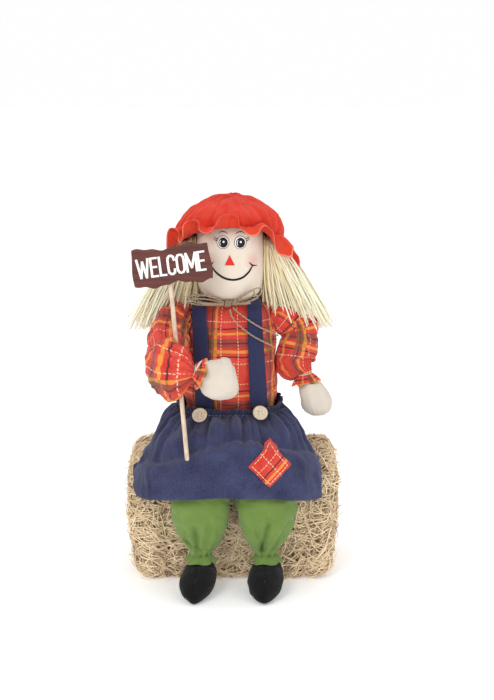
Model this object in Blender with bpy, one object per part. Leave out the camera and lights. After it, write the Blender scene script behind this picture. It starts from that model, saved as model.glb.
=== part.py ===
"""Seated scarecrow doll on a small straw bale, holding a sign on a stick.

The doll is soft: cloth covers over stuffing, sewn and tied together. Lengths below are in
millimetres and each mesh is built in metres. X runs to the viewer's right, -Y is the front and
+Z is up. The origin is the middle of the bale's base, where the piece stands.
"""

import math

import bmesh
import bpy
from mathutils import Vector
from mathutils.bvhtree import BVHTree

MM = 0.001
GAP = 0.5  # space left between pieces that touch

# Driving dimensions
BALE_WIDTH, BALE_DEPTH, BALE_HEIGHT = 236.0, 135.0, 138.0
BALE_ROUND = 9.0
TIE_X = {"right": -78.0, "left": 86.0}
CLOTH = 1.2  # a cloth cover's wall
BODY_X = -3.0  # the doll's own middle plane
TORSO_POWER = 2.4
# height: (half width, half depth, middle Y) of the shirt's outside
TORSO = {
    178.0: (52.0, 38.0, -6.0),
    195.0: (51.0, 40.0, -6.0),
    225.0: (51.0, 40.0, -6.0),
    255.0: (50.0, 38.0, -5.0),
    285.0: (50.0, 33.0, -3.0),
    303.0: (50.0, 27.0, -2.0),
    313.0: (41.0, 19.0, 0.0),
    318.0: (16.8, 16.8, 0.0),
}
NECK_PIVOT = (BODY_X, 0.0, 318.0)
NECK_RADIUS = 13.0
HEAD_CENTRE = (BODY_X, 0.0, 372.0)
HEAD_HALF = (39.0, 39.0, 50.0)
HEAD_POWER = 3.0  # 2 is an ellipsoid, and more is fuller
HAT_X = -2.0
HAT_TILT = 0.35  # rise of the hat's rim per millimetre towards the front
KNEE_Y, KNEE_Z, KNEE_RADIUS = -88.0, 125.0, 19.0
LEG_X = {"right": -37.0, "left": 38.5}
ANKLE_Z = 35.0
STRAP_WIDTH, STRAP_THICK = (21.0, 17.0), 1.0  # at the waist and over the shoulder
BUTTON_RADIUS, BUTTON_THICK = 9.0, 3.0
BUTTON_PLACE = {"right": (-35.5, 192.5), "left": (29.5, 193.5)}
PATCH_SIDE = 33.0
PATCH_MIDDLE = (42.0, 153.0)
PATCH_LIFT = 2.2  # from the middle of the skirt's wall to the middle of the patch
STICK_LOW, STICK_HIGH = (-49.6, -106.0, 152.5), (-71.7, -57.3, 385.0)
STICK_DIAMETER = 5.0
BOARD_SIZE = (88.0, 45.0, 2.6)
BOARD_ROLL = math.radians(8.0)
TWINE_DIAMETER = 2.2

MATERIALS = {
    "straw": ((0.62, 0.47, 0.24), 0.9),
    "twine": ((0.42, 0.32, 0.20), 0.9),
    "stuffing": ((0.85, 0.84, 0.80), 0.95),
    "plaid": ((0.75, 0.11, 0.06), 0.85),
    "denim": ((0.05, 0.06, 0.15), 0.85),
    "green_cloth": ((0.20, 0.34, 0.07), 0.85),
    "skin_cloth": ((0.84, 0.74, 0.62), 0.8),
    "red_cloth": ((0.72, 0.08, 0.03), 0.8),
    "raffia": ((0.80, 0.68, 0.34), 0.7),
    "black_felt": ((0.01, 0.01, 0.012), 0.95),
    "horn": ((0.68, 0.58, 0.43), 0.45),
    "thread": ((0.80, 0.76, 0.66), 0.8),
    "elastic": ((0.85, 0.84, 0.82), 0.7),
    "pine": ((0.66, 0.45, 0.25), 0.6),
    "sign_brown": ((0.10, 0.03, 0.02), 0.6),
    "glue": ((0.70, 0.62, 0.45), 0.3),
}


def clear_scene():
    for old in list(bpy.data.objects):
        bpy.data.objects.remove(old, do_unlink=True)


def material(name):
    found = bpy.data.materials.get(name)
    if found:
        return found
    colour, roughness = MATERIALS[name]
    made = bpy.data.materials.new(name)
    made.use_nodes = True
    shader = made.node_tree.nodes["Principled BSDF"]
    shader.inputs["Base Color"].default_value = (*colour, 1.0)
    shader.inputs["Roughness"].default_value = roughness
    shader.inputs["Metallic"].default_value = 0.0
    return made


def finish_object(name, mesh, material_name, pivot=(0.0, 0.0, 0.0)):
    """Adds the mesh to the scene with its origin at pivot, in millimetres."""
    mesh.materials.append(material(material_name))
    mesh.shade_smooth()
    mesh.set_sharp_from_angle(angle=math.radians(40))
    obj = bpy.data.objects.new(name, mesh)
    bpy.context.scene.collection.objects.link(obj)
    obj.location = Vector(pivot) * MM
    return obj


def mesh_from_rows(name, rows, wrap_columns, wrap_rows=False, caps=False, pivot=(0, 0, 0)):
    """A grid of points as faces. Columns or rows may close on themselves, and caps fill the ends."""
    build = bmesh.new()
    origin = Vector(pivot)
    grid = [[build.verts.new((Vector(p) - origin) * MM) for p in row] for row in rows]
    row_pairs = len(grid) if wrap_rows else len(grid) - 1
    columns = len(grid[0])
    column_pairs = columns if wrap_columns else columns - 1
    for r in range(row_pairs):
        low, high = grid[r], grid[(r + 1) % len(grid)]
        for c in range(column_pairs):
            d = (c + 1) % columns
            build.faces.new((low[c], low[d], high[d], high[c]))
    if caps:
        build.faces.new(grid[0][::-1])
        build.faces.new(grid[-1])
    bmesh.ops.recalc_face_normals(build, faces=build.faces)
    mesh = bpy.data.meshes.new(name)
    build.to_mesh(mesh)
    build.free()
    return mesh


def solid(name, rings, material_name, pivot=(0, 0, 0)):
    """A closed body through rings of points, with both ends capped."""
    mesh = mesh_from_rows(name, rings, wrap_columns=True, caps=True, pivot=pivot)
    return finish_object(name, mesh, material_name, pivot)


def hoop(name, rings, material_name, pivot=(0, 0, 0)):
    """A closed body whose last ring joins its first: a ring, a tie or a tube of cloth."""
    mesh = mesh_from_rows(name, rings, wrap_columns=True, wrap_rows=True, pivot=pivot)
    return finish_object(name, mesh, material_name, pivot)


def sheet(name, rows, material_name, thickness, wrap_columns=False):
    """A sheet of cloth through rows of points, thickened evenly to both sides."""
    mesh = mesh_from_rows(name, rows, wrap_columns)
    obj = finish_object(name, mesh, material_name)
    wall = obj.modifiers.new("wall", "SOLIDIFY")
    wall.thickness = thickness * MM
    wall.offset = 0.0
    return obj


def oval(centre, half_x, half_y, count, power=2.0, first=0.0):
    """A level ring of points about centre. power 2 is an ellipse, and more is boxier."""
    points = []
    for i in range(count):
        angle = first + 2 * math.pi * i / count
        c, s = math.cos(angle), math.sin(angle)
        x = math.copysign(abs(c) ** (2 / power), c) * half_x
        y = math.copysign(abs(s) ** (2 / power), s) * half_y
        points.append((centre[0] + x, centre[1] + y, centre[2]))
    return points


def limb_rings(stations, count=12, up=(0, 0, 1), last_direction=None, first_direction=None):
    """Rings square to a bent line. A station is (point, half width, half height)."""
    points = [Vector(s[0]) for s in stations]
    rings = []
    for i, (_, half_width, half_height) in enumerate(stations):
        along = points[min(i + 1, len(points) - 1)] - points[max(i - 1, 0)]
        if i == 0 and first_direction:
            along = Vector(first_direction)
        if i == len(stations) - 1 and last_direction:
            along = Vector(last_direction)
        along.normalize()
        across = along.cross(Vector(up)).normalized()
        rise = across.cross(along)
        ring = []
        for k in range(count):
            angle = 2 * math.pi * k / count
            offset = across * (math.cos(angle) * half_width) + rise * (math.sin(angle) * half_height)
            ring.append(tuple(points[i] + offset))
        rings.append(ring)
    return rings


def ring_tube(path, radius, count=6):
    """Rings of points round a closed path, for a tie or a hoop."""
    points = [Vector(p) for p in path]
    middle = sum(points, Vector()) / len(points)
    rings = []
    for i, point in enumerate(points):
        along = (points[(i + 1) % len(points)] - points[i - 1]).normalized()
        out = (point - middle).normalized()
        out = (out - along * out.dot(along)).normalized()
        side = along.cross(out)
        ring = []
        for k in range(count):
            angle = 2 * math.pi * k / count
            ring.append(tuple(point + (out * math.cos(angle) + side * math.sin(angle)) * radius))
        rings.append(ring)
    return rings


def smooth_route(points, step):
    """Points about step apart on a Catmull-Rom curve through the given ones."""
    ends = [2 * Vector(points[0]) - Vector(points[1])]
    ends += [Vector(p) for p in points]
    ends.append(2 * Vector(points[-1]) - Vector(points[-2]))
    route = []
    for a, b, c, d in zip(ends, ends[1:], ends[2:], ends[3:]):
        pieces = max(1, round((c - b).length / step))
        for k in range(pieces):
            t = k / pieces
            route.append(
                0.5 * (2 * b + (c - a) * t + (2 * a - 5 * b + 4 * c - d) * t**2
                       + (3 * b - a - 3 * c + d) * t**3)
            )
    route.append(Vector(points[-1]))
    return route


def twine(name, points):
    """A length of twine: a bevelled curve through a smooth route."""
    curve = bpy.data.curves.new(name, "CURVE")
    curve.dimensions = "3D"
    curve.bevel_depth = TWINE_DIAMETER / 2 * MM
    curve.bevel_resolution = 2
    curve.use_fill_caps = True
    route = smooth_route(points, 2.5 * TWINE_DIAMETER)
    spline = curve.splines.new("POLY")
    spline.points.add(len(route) - 1)
    for slot, place in zip(spline.points, route):
        slot.co = (*(place * MM), 1.0)
    curve.materials.append(material("twine"))
    obj = bpy.data.objects.new(name, curve)
    bpy.context.scene.collection.objects.link(obj)
    return obj


# Bale


def bale_section(x, inset):
    """The bale's outline at x, with its edges rounded and all four sides drawn in by inset."""
    half, high, low = BALE_DEPTH / 2 - inset, BALE_HEIGHT - inset, inset
    points = []
    corners = (
        (half, high, 0), (-half, high, 90), (-half, low, 180), (half, low, 270),
    )
    for y, z, start in corners:
        centre_y = y - math.copysign(BALE_ROUND, y)
        centre_z = z - BALE_ROUND if z == high else z + BALE_ROUND
        for k in range(4):
            angle = math.radians(start + 30 * k)
            points.append(
                (x, centre_y + BALE_ROUND * math.cos(angle), centre_z + BALE_ROUND * math.sin(angle))
            )
    return points


def add_bale():
    end = BALE_WIDTH / 2
    groove = 3.4
    sections = [(-end, 5.0), (-end + 5, 0.0)]
    for x in sorted(TIE_X.values()):
        sections += [(x - 6, 0.0), (x - 2.5, groove), (x + 2.5, groove), (x + 6, 0.0)]
    sections += [(end - 5, 0.0), (end, 5.0)]
    solid("straw_bale", [bale_section(x, inset) for x, inset in sections], "straw")
    for side, x in TIE_X.items():
        hoop(f"bale_tie_{side}", ring_tube(bale_section(x, groove - 1.7), 1.2, 5), "twine")


# Torso


def torso_size(z):
    """Half width, half depth and middle Y of the shirt's outside at height z."""
    heights = sorted(TORSO)
    z = min(max(z, heights[0]), heights[-1])
    for low, high in zip(heights, heights[1:]):
        if z <= high:
            t = (z - low) / (high - low)
            return tuple(a + (b - a) * t for a, b in zip(TORSO[low], TORSO[high]))
    return TORSO[heights[-1]]


def torso_ring(z, grow=0.0, lift=0.0):
    half_x, half_y, middle = torso_size(z)
    return oval((BODY_X, middle, z + lift), half_x + grow, half_y + grow, 24, TORSO_POWER)


def torso_depth(x, z, sign):
    """Y of the shirt's outside at (x, z): sign -1 is the front and +1 is the back."""
    half_x, half_y, middle = torso_size(z)
    share = min(abs((x - BODY_X) / half_x), 0.999)
    return middle + sign * half_y * (1 - share**TORSO_POWER) ** (1 / TORSO_POWER)


def shoulder_height(x, y):
    """Z of the shirt's outside over the point (x, y)."""
    low, high = 285.0, 318.0
    for _ in range(30):
        z = (low + high) / 2
        half_x, half_y, middle = torso_size(z)
        share = abs((x - BODY_X) / half_x) ** TORSO_POWER + abs((y - middle) / half_y) ** TORSO_POWER
        if share < 1:
            low = z
        else:
            high = z
    return low


def add_torso():
    heights = sorted(TORSO)
    outside = [torso_ring(z) for z in heights]
    inside = [torso_ring(z, -CLOTH) for z in reversed(heights)]
    hoop("shirt_body", outside + inside, "plaid")
    core = [torso_ring(z, -CLOTH - GAP) for z in heights[:-2]]
    core[0] = torso_ring(heights[0], -CLOTH - GAP, lift=0.5)
    solid("body_stuffing", core, "stuffing")


def add_seat():
    """The seat and thighs of the trousers, flat on the bale and thinning over the knees."""
    # Y, half width, lowest Z, highest Z
    stations = (
        (45.0, 30.0, 142.0, 150.0),
        (38.0, 44.0, 138.6, 160.0),
        (18.0, 56.0, 138.6, 172.0),
        (-8.0, 63.0, 138.6, 176.0),
        (-45.0, 66.0, 138.6, 174.0),
        (-67.0, 66.0, 139.0, 168.0),
        (-78.0, 64.0, 146.0, 163.0),
        (-90.0, 60.0, 148.0, 156.0),
    )
    rings = []
    for y, half, low, high in stations:
        flat = oval((BODY_X + 3, 0, 0), half, (high - low) / 2, 16, 4.0)
        rings.append([(px, y, (low + high) / 2 + py) for px, py, _ in flat])
    solid("trousers_seat", rings, "green_cloth")


# Skirt

WAIST_Z = 180.0
WAIST_HALF = (60.0, 49.0)
WAIST_Y = -6.0
SKIRT_X = -4.0
# for each column from the front round to the back: angle at the waist, then the fold over the
# knees or the bale's edge, and the hem, each as (distance from the middle plane, Y, Z)
SKIRT_COLUMNS = (
    (0, (0.0, -101.0, 160.0), (0.0, -114.0, 119.0)),
    (18, (30.0, -101.0, 159.0), (30.0, -114.0, 118.0)),
    (36, (58.0, -100.0, 155.0), (60.0, -112.0, 116.0)),
    (52, (84.0, -92.0, 150.0), (89.0, -100.0, 111.0)),
    (62, (101.0, -78.0, 147.0), (106.0, -80.0, 107.0)),
    (68, (105.0, -73.5, 145.5), (108.0, -71.8, 124.0)),
    (74, (104.0, -71.0, 146.0), (108.0, -71.0, 141.5)),
    (80, (98.0, -62.0, 146.0), (103.0, -60.0, 142.5)),
    (90, (92.0, -35.0, 146.0), (98.0, -33.0, 141.5)),
    (106, (86.0, -5.0, 146.0), (92.0, 0.0, 141.5)),
    (122, (76.0, 27.0, 146.0), (82.0, 32.0, 141.5)),
    (140, (56.0, 46.0, 146.0), (60.0, 50.0, 141.5)),
    (160, (29.0, 55.0, 146.0), (31.0, 60.0, 141.5)),
    (180, (0.0, 58.0, 146.0), (0.0, 63.0, 141.5)),
)
SKIRT_SWELL = 11.0  # how far the cloth stands out between waist and fold


def waist_point(angle, side, grow=0.0, z=WAIST_Z):
    """A point of the waist, angle degrees from the front, on one side."""
    c, s = math.cos(math.radians(angle)), math.sin(math.radians(angle))
    power = 2 / TORSO_POWER
    x = s**power * (WAIST_HALF[0] + grow)
    y = -math.copysign(abs(c) ** power, c) * (WAIST_HALF[1] + grow)
    return Vector((SKIRT_X + side * x, WAIST_Y + y, z))


def skirt_column(angle, fold, hem, side):
    top = waist_point(angle, side)
    fold = Vector((SKIRT_X + side * fold[0], fold[1], fold[2]))
    hem = Vector((SKIRT_X + side * hem[0], hem[1], hem[2]))
    out = (fold - top).to_2d().normalized()
    swell = SKIRT_SWELL * (0.55 + 0.45 * math.cos(math.radians(angle)))
    column = []
    for k in range(5):
        t = k / 4
        point = top.lerp(fold, t)
        bulge = swell * 4 * t * (1 - t)
        point += Vector((out.x * 0.5, out.y * 0.5, 0.85)) * bulge
        column.append(point)
    column.append(fold.lerp(hem, 0.5))
    column.append(hem)
    return column


def add_skirt():
    halves = []
    for side in (-1, 1):
        halves.append([skirt_column(a, fold, hem, side) for a, fold, hem in SKIRT_COLUMNS])
    columns = halves[0] + halves[1][-2:0:-1]
    rows = [[column[r] for column in columns] for r in range(len(columns[0]))]
    return sheet("skirt", rows, "denim", CLOTH, wrap_columns=True)


def band_ring(grow, z):
    """A ring of points round the waist, grown from the skirt's upper edge."""
    angles = range(0, 181, 15)
    near = [waist_point(a, -1, grow, z) for a in angles]
    far = [waist_point(a, 1, grow, z) for a in angles]
    return near + far[-2:0:-1]


def add_waistband():
    outside = [band_ring(-1.0, 182.0), band_ring(-1.6, 194.0), band_ring(-1.0, 206.0)]
    inside = [band_ring(-2.2, 206.0), band_ring(-2.8, 194.0), band_ring(-2.2, 182.0)]
    hoop("waistband", outside + inside, "denim")
    hoop("waist_elastic", ring_tube(band_ring(-4.1, 198.0), 0.8, 5), "elastic")


def band_front(x):
    """Y of the waistband's front at x."""
    half_x, half_y = WAIST_HALF[0] - 1.2, WAIST_HALF[1] - 1.2
    share = abs((x - SKIRT_X) / half_x)
    return WAIST_Y - half_y * (1 - share**TORSO_POWER) ** (1 / TORSO_POWER)


def add_suspenders():
    """Straps from the waistband's front over the shoulders to its back."""
    places = {"right": (-32.5, -38.0), "left": (30.5, 25.0)}
    low_z = (197.0, 211.0, 225.0, 240.0, 255.0, 270.0, 285.0, 294.0, 301.0)
    over_shoulder = (0.08, 0.2, 0.35, 0.5, 0.65, 0.8, 0.92)
    for side, (low_x, high_x) in places.items():
        front, back = [], []
        for z in low_z:
            rise = (z - low_z[0]) / (low_z[-1] - low_z[0])
            columns = strap_columns(low_x + (high_x - low_x) * rise, rise)
            front.append(strap_row(columns, z, -1))
            back.append(strap_row(columns, z, 1))
        columns = strap_columns(high_x, 1.0)
        top = [[strap_top(x, low_z[-1], share) for x in columns] for share in over_shoulder]
        rows = front + top + back[::-1]
        sheet(f"suspender_{side}", rows, "denim", STRAP_THICK)


def strap_top(x, z, share):
    """A strap's point over the shoulder: share runs from the front (0) to the back (1)."""
    front, back = torso_depth(x, z, -1), torso_depth(x, z, 1)
    y = front + (back - front) * share
    return (x, y * 1.08, shoulder_height(x, y) + 2.6)


def strap_columns(x, rise):
    """Places across a strap whose middle is at x. rise runs from 0 at the waist to 1 at the top."""
    width = STRAP_WIDTH[0] + (STRAP_WIDTH[1] - STRAP_WIDTH[0]) * rise
    return [x + width * share for share in (-0.5, -0.25, 0.0, 0.25, 0.5)]


def strap_row(columns, z, sign):
    return [(x, torso_depth(x, z, sign) + sign * (2.0 if z < 280 else 3.2), z) for x in columns]


def add_buttons():
    for side, (x, z) in BUTTON_PLACE.items():
        slope = (band_front(x + 3) - band_front(x - 3)) / 6
        turn = math.atan(slope)
        out = Vector((math.sin(turn), -math.cos(turn), 0))
        across = Vector((math.cos(turn), math.sin(turn), 0))
        face = Vector((x, band_front(x), z)) + out * 1.6
        profile = ((0.0, 8.0), (0.8, BUTTON_RADIUS), (2.2, BUTTON_RADIUS), (BUTTON_THICK, 8.0),
                   (2.3, 6.0))
        rings = []
        for depth, radius in profile:
            ring = []
            for k in range(20):
                angle = 2 * math.pi * k / 20
                flat = across * math.cos(angle) + Vector((0, 0, 1)) * math.sin(angle)
                ring.append(tuple(face + out * depth + flat * radius))
            rings.append(ring)
        solid(f"button_{side}", rings, "horn")
        middle = face + out * (BUTTON_THICK + 0.2)
        ends = (middle - across * 2.6, middle + across * 2.6)
        rings = limb_rings([(ends[0], 1.4, 0.5), (ends[1], 1.4, 0.5)], 6, up=tuple(out))
        solid(f"button_thread_{side}", rings, "thread")


def add_patch(skirt):
    """A square of plaid cloth set on one corner, lying on the lap above the knee."""
    surface = BVHTree.FromPolygons(
        [v.co for v in skirt.data.vertices], [tuple(f.vertices) for f in skirt.data.polygons]
    )
    steps = 4
    rows = []
    for i in range(steps + 1):
        row = []
        for j in range(steps + 1):
            u = PATCH_SIDE * (i / steps - 0.5)
            v = PATCH_SIDE * (j / steps - 0.5)
            x = PATCH_MIDDLE[0] + (u + v) / math.sqrt(2)
            z = PATCH_MIDDLE[1] + (u - v) / math.sqrt(2)
            hit, normal, _, _ = surface.ray_cast(Vector((x, -300.0, z)) * MM, Vector((0, 1, 0)))
            if normal.y > 0:
                normal.negate()
            row.append(tuple(hit / MM + normal * PATCH_LIFT))
        rows.append(row)
    sheet("skirt_patch", rows, "plaid", 0.8)


# Neck twine and bow

KNOT = (-5.0, -30.5, 321.5)
BOW_ROUTES = {
    "bow_loop_right": (
        (-10.3, -31.5, 323.2), (-18, -34, 327.5), (-30, -38, 332), (-42, -41, 333.5),
        (-51, -42, 330.5), (-50, -42, 325.5), (-41, -41, 322.5), (-28, -38, 321), (-17, -34.5, 320),
        (-10.3, -32, 319.6),
    ),
    "bow_loop_left": (
        (0.3, -31.5, 323.4), (7, -34, 328), (15, -38, 334), (24, -41, 340), (31, -42, 341.5),
        (33.5, -42, 337.5), (28, -41, 331.5), (19, -38.5, 326), (9, -34.5, 321.5), (0.3, -32, 319.8),
    ),
    "bow_tail_left": (
        (0.4, -32.8, 317.2), (6, -34.5, 312), (14, -36, 306), (23, -37, 300), (33, -36.5, 294),
        (43, -34, 289), (52, -30, 284),
    ),
    "bow_tail_right": (
        (-3, -34, 315.6), (-1, -36, 308), (5, -38, 300), (13, -40, 293), (22, -41, 286.5),
        (31, -40, 281), (40, -37, 276), (46, -34, 272),
    ),
}


def add_neck_twine():
    hoop("neck_twine", ring_tube(oval((BODY_X, -4, 321), 18.5, 21.0, 20), 1.1, 6), "twine")
    x, y, z = KNOT
    stations = [
        ((x - 4.6, y, z), 1.8, 2.4), ((x - 3, y, z), 3.4, 4.6), ((x, y, z), 3.8, 4.0),
        ((x + 3, y, z), 3.4, 4.6), ((x + 4.6, y, z), 1.8, 2.4),
    ]
    solid("bow_knot", limb_rings(stations, 10), "twine")
    for name, points in BOW_ROUTES.items():
        twine(name, points)


# Head


def add_neck():
    """A stuffed neck with a round lower end, so that it tips in the collar."""
    x, y, z = NECK_PIVOT
    rings = []
    for degrees in (-80, -55, -30, 0):
        angle = math.radians(degrees)
        rings.append(
            oval((x, y, z + NECK_RADIUS * math.sin(angle)), NECK_RADIUS * math.cos(angle),
                 NECK_RADIUS * math.cos(angle), 16)
        )
    rings.append(oval((x, y, z + 7.6), 12.0, 12.0, 16))
    solid("neck_stem", rings, "skin_cloth", NECK_PIVOT)


def head_ring(z, grow=0.0):
    share = (1 - abs((z - HEAD_CENTRE[2]) / HEAD_HALF[2]) ** HEAD_POWER) ** (1 / HEAD_POWER)
    return oval(
        (HEAD_CENTRE[0], HEAD_CENTRE[1], z), HEAD_HALF[0] * share + grow, HEAD_HALF[1] * share + grow, 24
    )


def add_head():
    heights = (326.4, 332, 340, 352, 366, 380, 394, 405, 413, 418.5, 421.3)
    solid("head", [head_ring(z) for z in heights], "skin_cloth", NECK_PIVOT)
    # a felt triangle, point up
    x, z, y = BODY_X, 371.0, -39.6
    outline = ((x - 5.6, z - 4.0), (x + 5.6, z - 4.0), (x, z + 7.4))
    rings = [[(px, y - depth, pz) for px, pz in outline] for depth in (0.0, 1.2)]
    solid("nose", rings, "red_cloth", NECK_PIVOT)


def hat_ring(base, half_x, half_y, tilt, count=28, wave=None):
    ring = []
    for i, (x, y, _) in enumerate(oval((HAT_X, 0, 0), half_x, half_y, count)):
        lift = wave(i / count) if wave else 0.0
        ring.append((x, y, base - tilt * y + lift))
    return ring


def ruffle_droop(left, right):
    """How far the ruffle hangs at each share of the way round: left is the doll's left, at +X."""

    def lift(share):
        side = math.cos(2 * math.pi * share)
        return -(left if side > 0 else right) * abs(side) ** 1.5

    return lift


def add_hat():
    """A gathered mob cap: puffed crown, elastic inside its gather, and a ruffle below."""
    levels = (
        (388.0, 50.0, 46.0, 1.0), (399.0, 58.0, 50.0, 0.9), (413.0, 58.0, 49.0, 0.6),
        (428.0, 46.0, 40.0, 0.3), (437.5, 26.0, 22.0, 0.1), (441.0, 7.0, 6.0, 0.0),
    )
    outside = [hat_ring(z, a, b, HAT_TILT * t) for z, a, b, t in levels]
    inside = [hat_ring(z - 1.5 * (z > 420), a - 1.6, b - 1.6, HAT_TILT * t) for z, a, b, t in levels[:-1]]
    solid("hat_crown", inside[::-1] + outside, "red_cloth", NECK_PIVOT)
    hoop("hat_elastic", ring_tube(hat_ring(391.0, 46.4, 42.6, HAT_TILT), 1.0, 5), "elastic")
    rows = []
    # base height, half width, half depth, how much the left and right sides droop
    for base, half_x, half_y, left, right in (
        (385.6, 50.5, 46.5, 0.0, 0.0), (384.5, 61.0, 50.0, 8.0, 4.0), (385.5, 70.5, 53.0, 18.0, 8.0),
        (387.0, 77.5, 55.0, 28.0, 11.0),
    ):
        rows.append(hat_ring(base, half_x, half_y, HAT_TILT, wave=ruffle_droop(left, right)))
    sheet("hat_ruffle", rows, "red_cloth", CLOTH, wrap_columns=True)


def add_hair():
    """Raffia bundles: a lock down each side and a curtain behind."""
    locks = {
        "hair_right": [
            ((-48.5, 8, 372), 7, 9), ((-56, 7, 358), 11, 12), ((-68, 5, 341), 13, 13),
            ((-84, 4, 325), 13, 12), ((-97, 3, 310), 11, 9), ((-107, 2, 298), 6, 5),
        ],
        "hair_left": [
            ((42, 9, 371), 6, 8), ((50, 8, 358), 11, 12), ((64, 7, 345), 13, 12),
            ((80, 7, 333), 13, 11), ((95, 8, 318), 10, 8), ((107, 8, 303), 5, 4),
        ],
    }
    for name, stations in locks.items():
        solid(name, limb_rings(stations, 12, up=(0, 1, 0)), "raffia", NECK_PIVOT)
    stations = [
        ((BODY_X, 42.6, 366), 30, 2.0), ((BODY_X, 44.5, 352), 37, 4.5), ((BODY_X, 43, 336), 37, 6),
        ((BODY_X, 40, 320), 33, 5.5), ((BODY_X, 38, 308), 26, 3),
    ]
    solid("hair_back", limb_rings(stations, 14, up=(0, 1, 0)), "raffia", NECK_PIVOT)


# Arms

ELBOW = {"right": (-79.0, -47.0, 241.0), "left": (86.0, -3.0, 281.0)}
SHOULDER = {"right": (-60.0, -5.0, 298.0), "left": (54.0, -3.0, 304.0)}


def add_hand(side, stations, pivot):
    solid(f"hand_{side}", limb_rings(stations, 12), "skin_cloth", pivot)


def tie_and_cuff(side, wrist, along, radius, pivot):
    """The thread round a wrist and the flared end of the sleeve beyond it."""
    along = Vector(along).normalized()
    wrist = Vector(wrist)
    rings = []
    for depth, size in ((0.0, radius), (8.5, radius + 4.5), (8.5, radius + 3.3), (0.0, radius - CLOTH)):
        centre = wrist + along * (depth + 1.6)
        rings.append(limb_rings([(centre, size, size)], 14, first_direction=tuple(along))[0])
    hoop(f"cuff_{side}", rings, "plaid", pivot)
    path = limb_rings([(wrist, radius + 1.0, radius + 1.0)], 14, first_direction=tuple(along))[0]
    hoop(f"wrist_tie_{side}", ring_tube(path, 0.8, 5), "thread", pivot)


def add_right_arm():
    """Bent at the elbow, with the forearm across the front: the stick passes through the crook."""
    shoulder, elbow = SHOULDER["right"], ELBOW["right"]
    upper = [
        ((-54.8, -3, 299), 13, 13), ((-62, -5, 297), 16, 16), ((-71.5, -13, 290), 17.5, 17.5),
        ((-77, -26, 278), 18.5, 19), ((-79.5, -38, 267), 16, 16), ((-79, -42, 262.5), 13, 13),
    ]
    rings = limb_rings(upper, 14, up=(0, 1, 0.2), first_direction=(-1, 0, 0), last_direction=(0, 0, -1))
    solid("sleeve_upper_right", rings, "plaid", shoulder)
    lower = [
        ((-79, -33, 242), 8, 12), ((-80, -42, 242), 13, 19), ((-80, -62, 241), 14, 22),
        ((-80.5, -82, 242), 14.5, 27), ((-74, -97, 244), 12.5, 26), ((-61, -102, 250), 12, 22),
        ((-53.5, -101.5, 254.8), 10, 12), ((-47.8, -100.7, 257.2), 6, 5.5),
    ]
    solid("sleeve_lower_right", limb_rings(lower, 12), "plaid", elbow)
    along = (1.0, 0.12, -0.35)
    tie_and_cuff("right", (-41.8, -99.7, 259.0), along, 9.0, elbow)
    hand = [
        ((-41.5, -99.5, 259.0), 6, 6), ((-33, -98, 256.5), 9, 10), ((-24, -97, 253), 12, 20),
        ((-12, -96, 250), 12.5, 22.5), ((-3, -95, 249), 11, 19), ((3.5, -94.5, 249), 6, 11),
    ]
    add_hand("right", hand, elbow)


def add_left_arm():
    """Held out to the side, with the forearm hanging."""
    shoulder, elbow = SHOULDER["left"], ELBOW["left"]
    upper = [
        ((49.4, -3, 303.5), 12, 11), ((55.5, -3, 301), 16, 15), ((60, -3, 298), 17.5, 17), ((64, -3, 294), 16, 15),
    ]
    rings = limb_rings(upper, 14, up=(0, 1, 0), first_direction=(1, 0, 0), last_direction=(1, 0, 0))
    solid("sleeve_upper_left", rings, "plaid", shoulder)
    lower = [
        ((84, -2, 301), 11, 11), ((84, -2, 296), 15, 15), ((84, -4, 283), 17, 18),
        ((82, -8, 268), 17.5, 19), ((77.5, -12, 253), 20.5, 17.5), ((79.5, -16.5, 242), 13, 12),
        ((82.5, -18.5, 237), 8, 8),
    ]
    solid("sleeve_lower_left", limb_rings(lower, 12, up=(0, 1, 0)), "plaid", elbow)
    along = (0.2, -0.15, -1.0)
    tie_and_cuff("left", (82.8, -19.4, 234.6), along, 9.0, elbow)
    hand = [
        ((82.9, -19.6, 234.0), 6, 6), ((85.5, -21, 226), 8.2, 8.5), ((92.5, -23.5, 214), 14, 12.5),
        ((98, -26, 204), 16, 12.5), ((101, -27, 196), 12, 9), ((102, -27.5, 191.5), 6, 5),
    ]
    solid("hand_left", limb_rings(hand, 12, up=(0, 1, 0)), "skin_cloth", elbow)


# Legs


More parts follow.
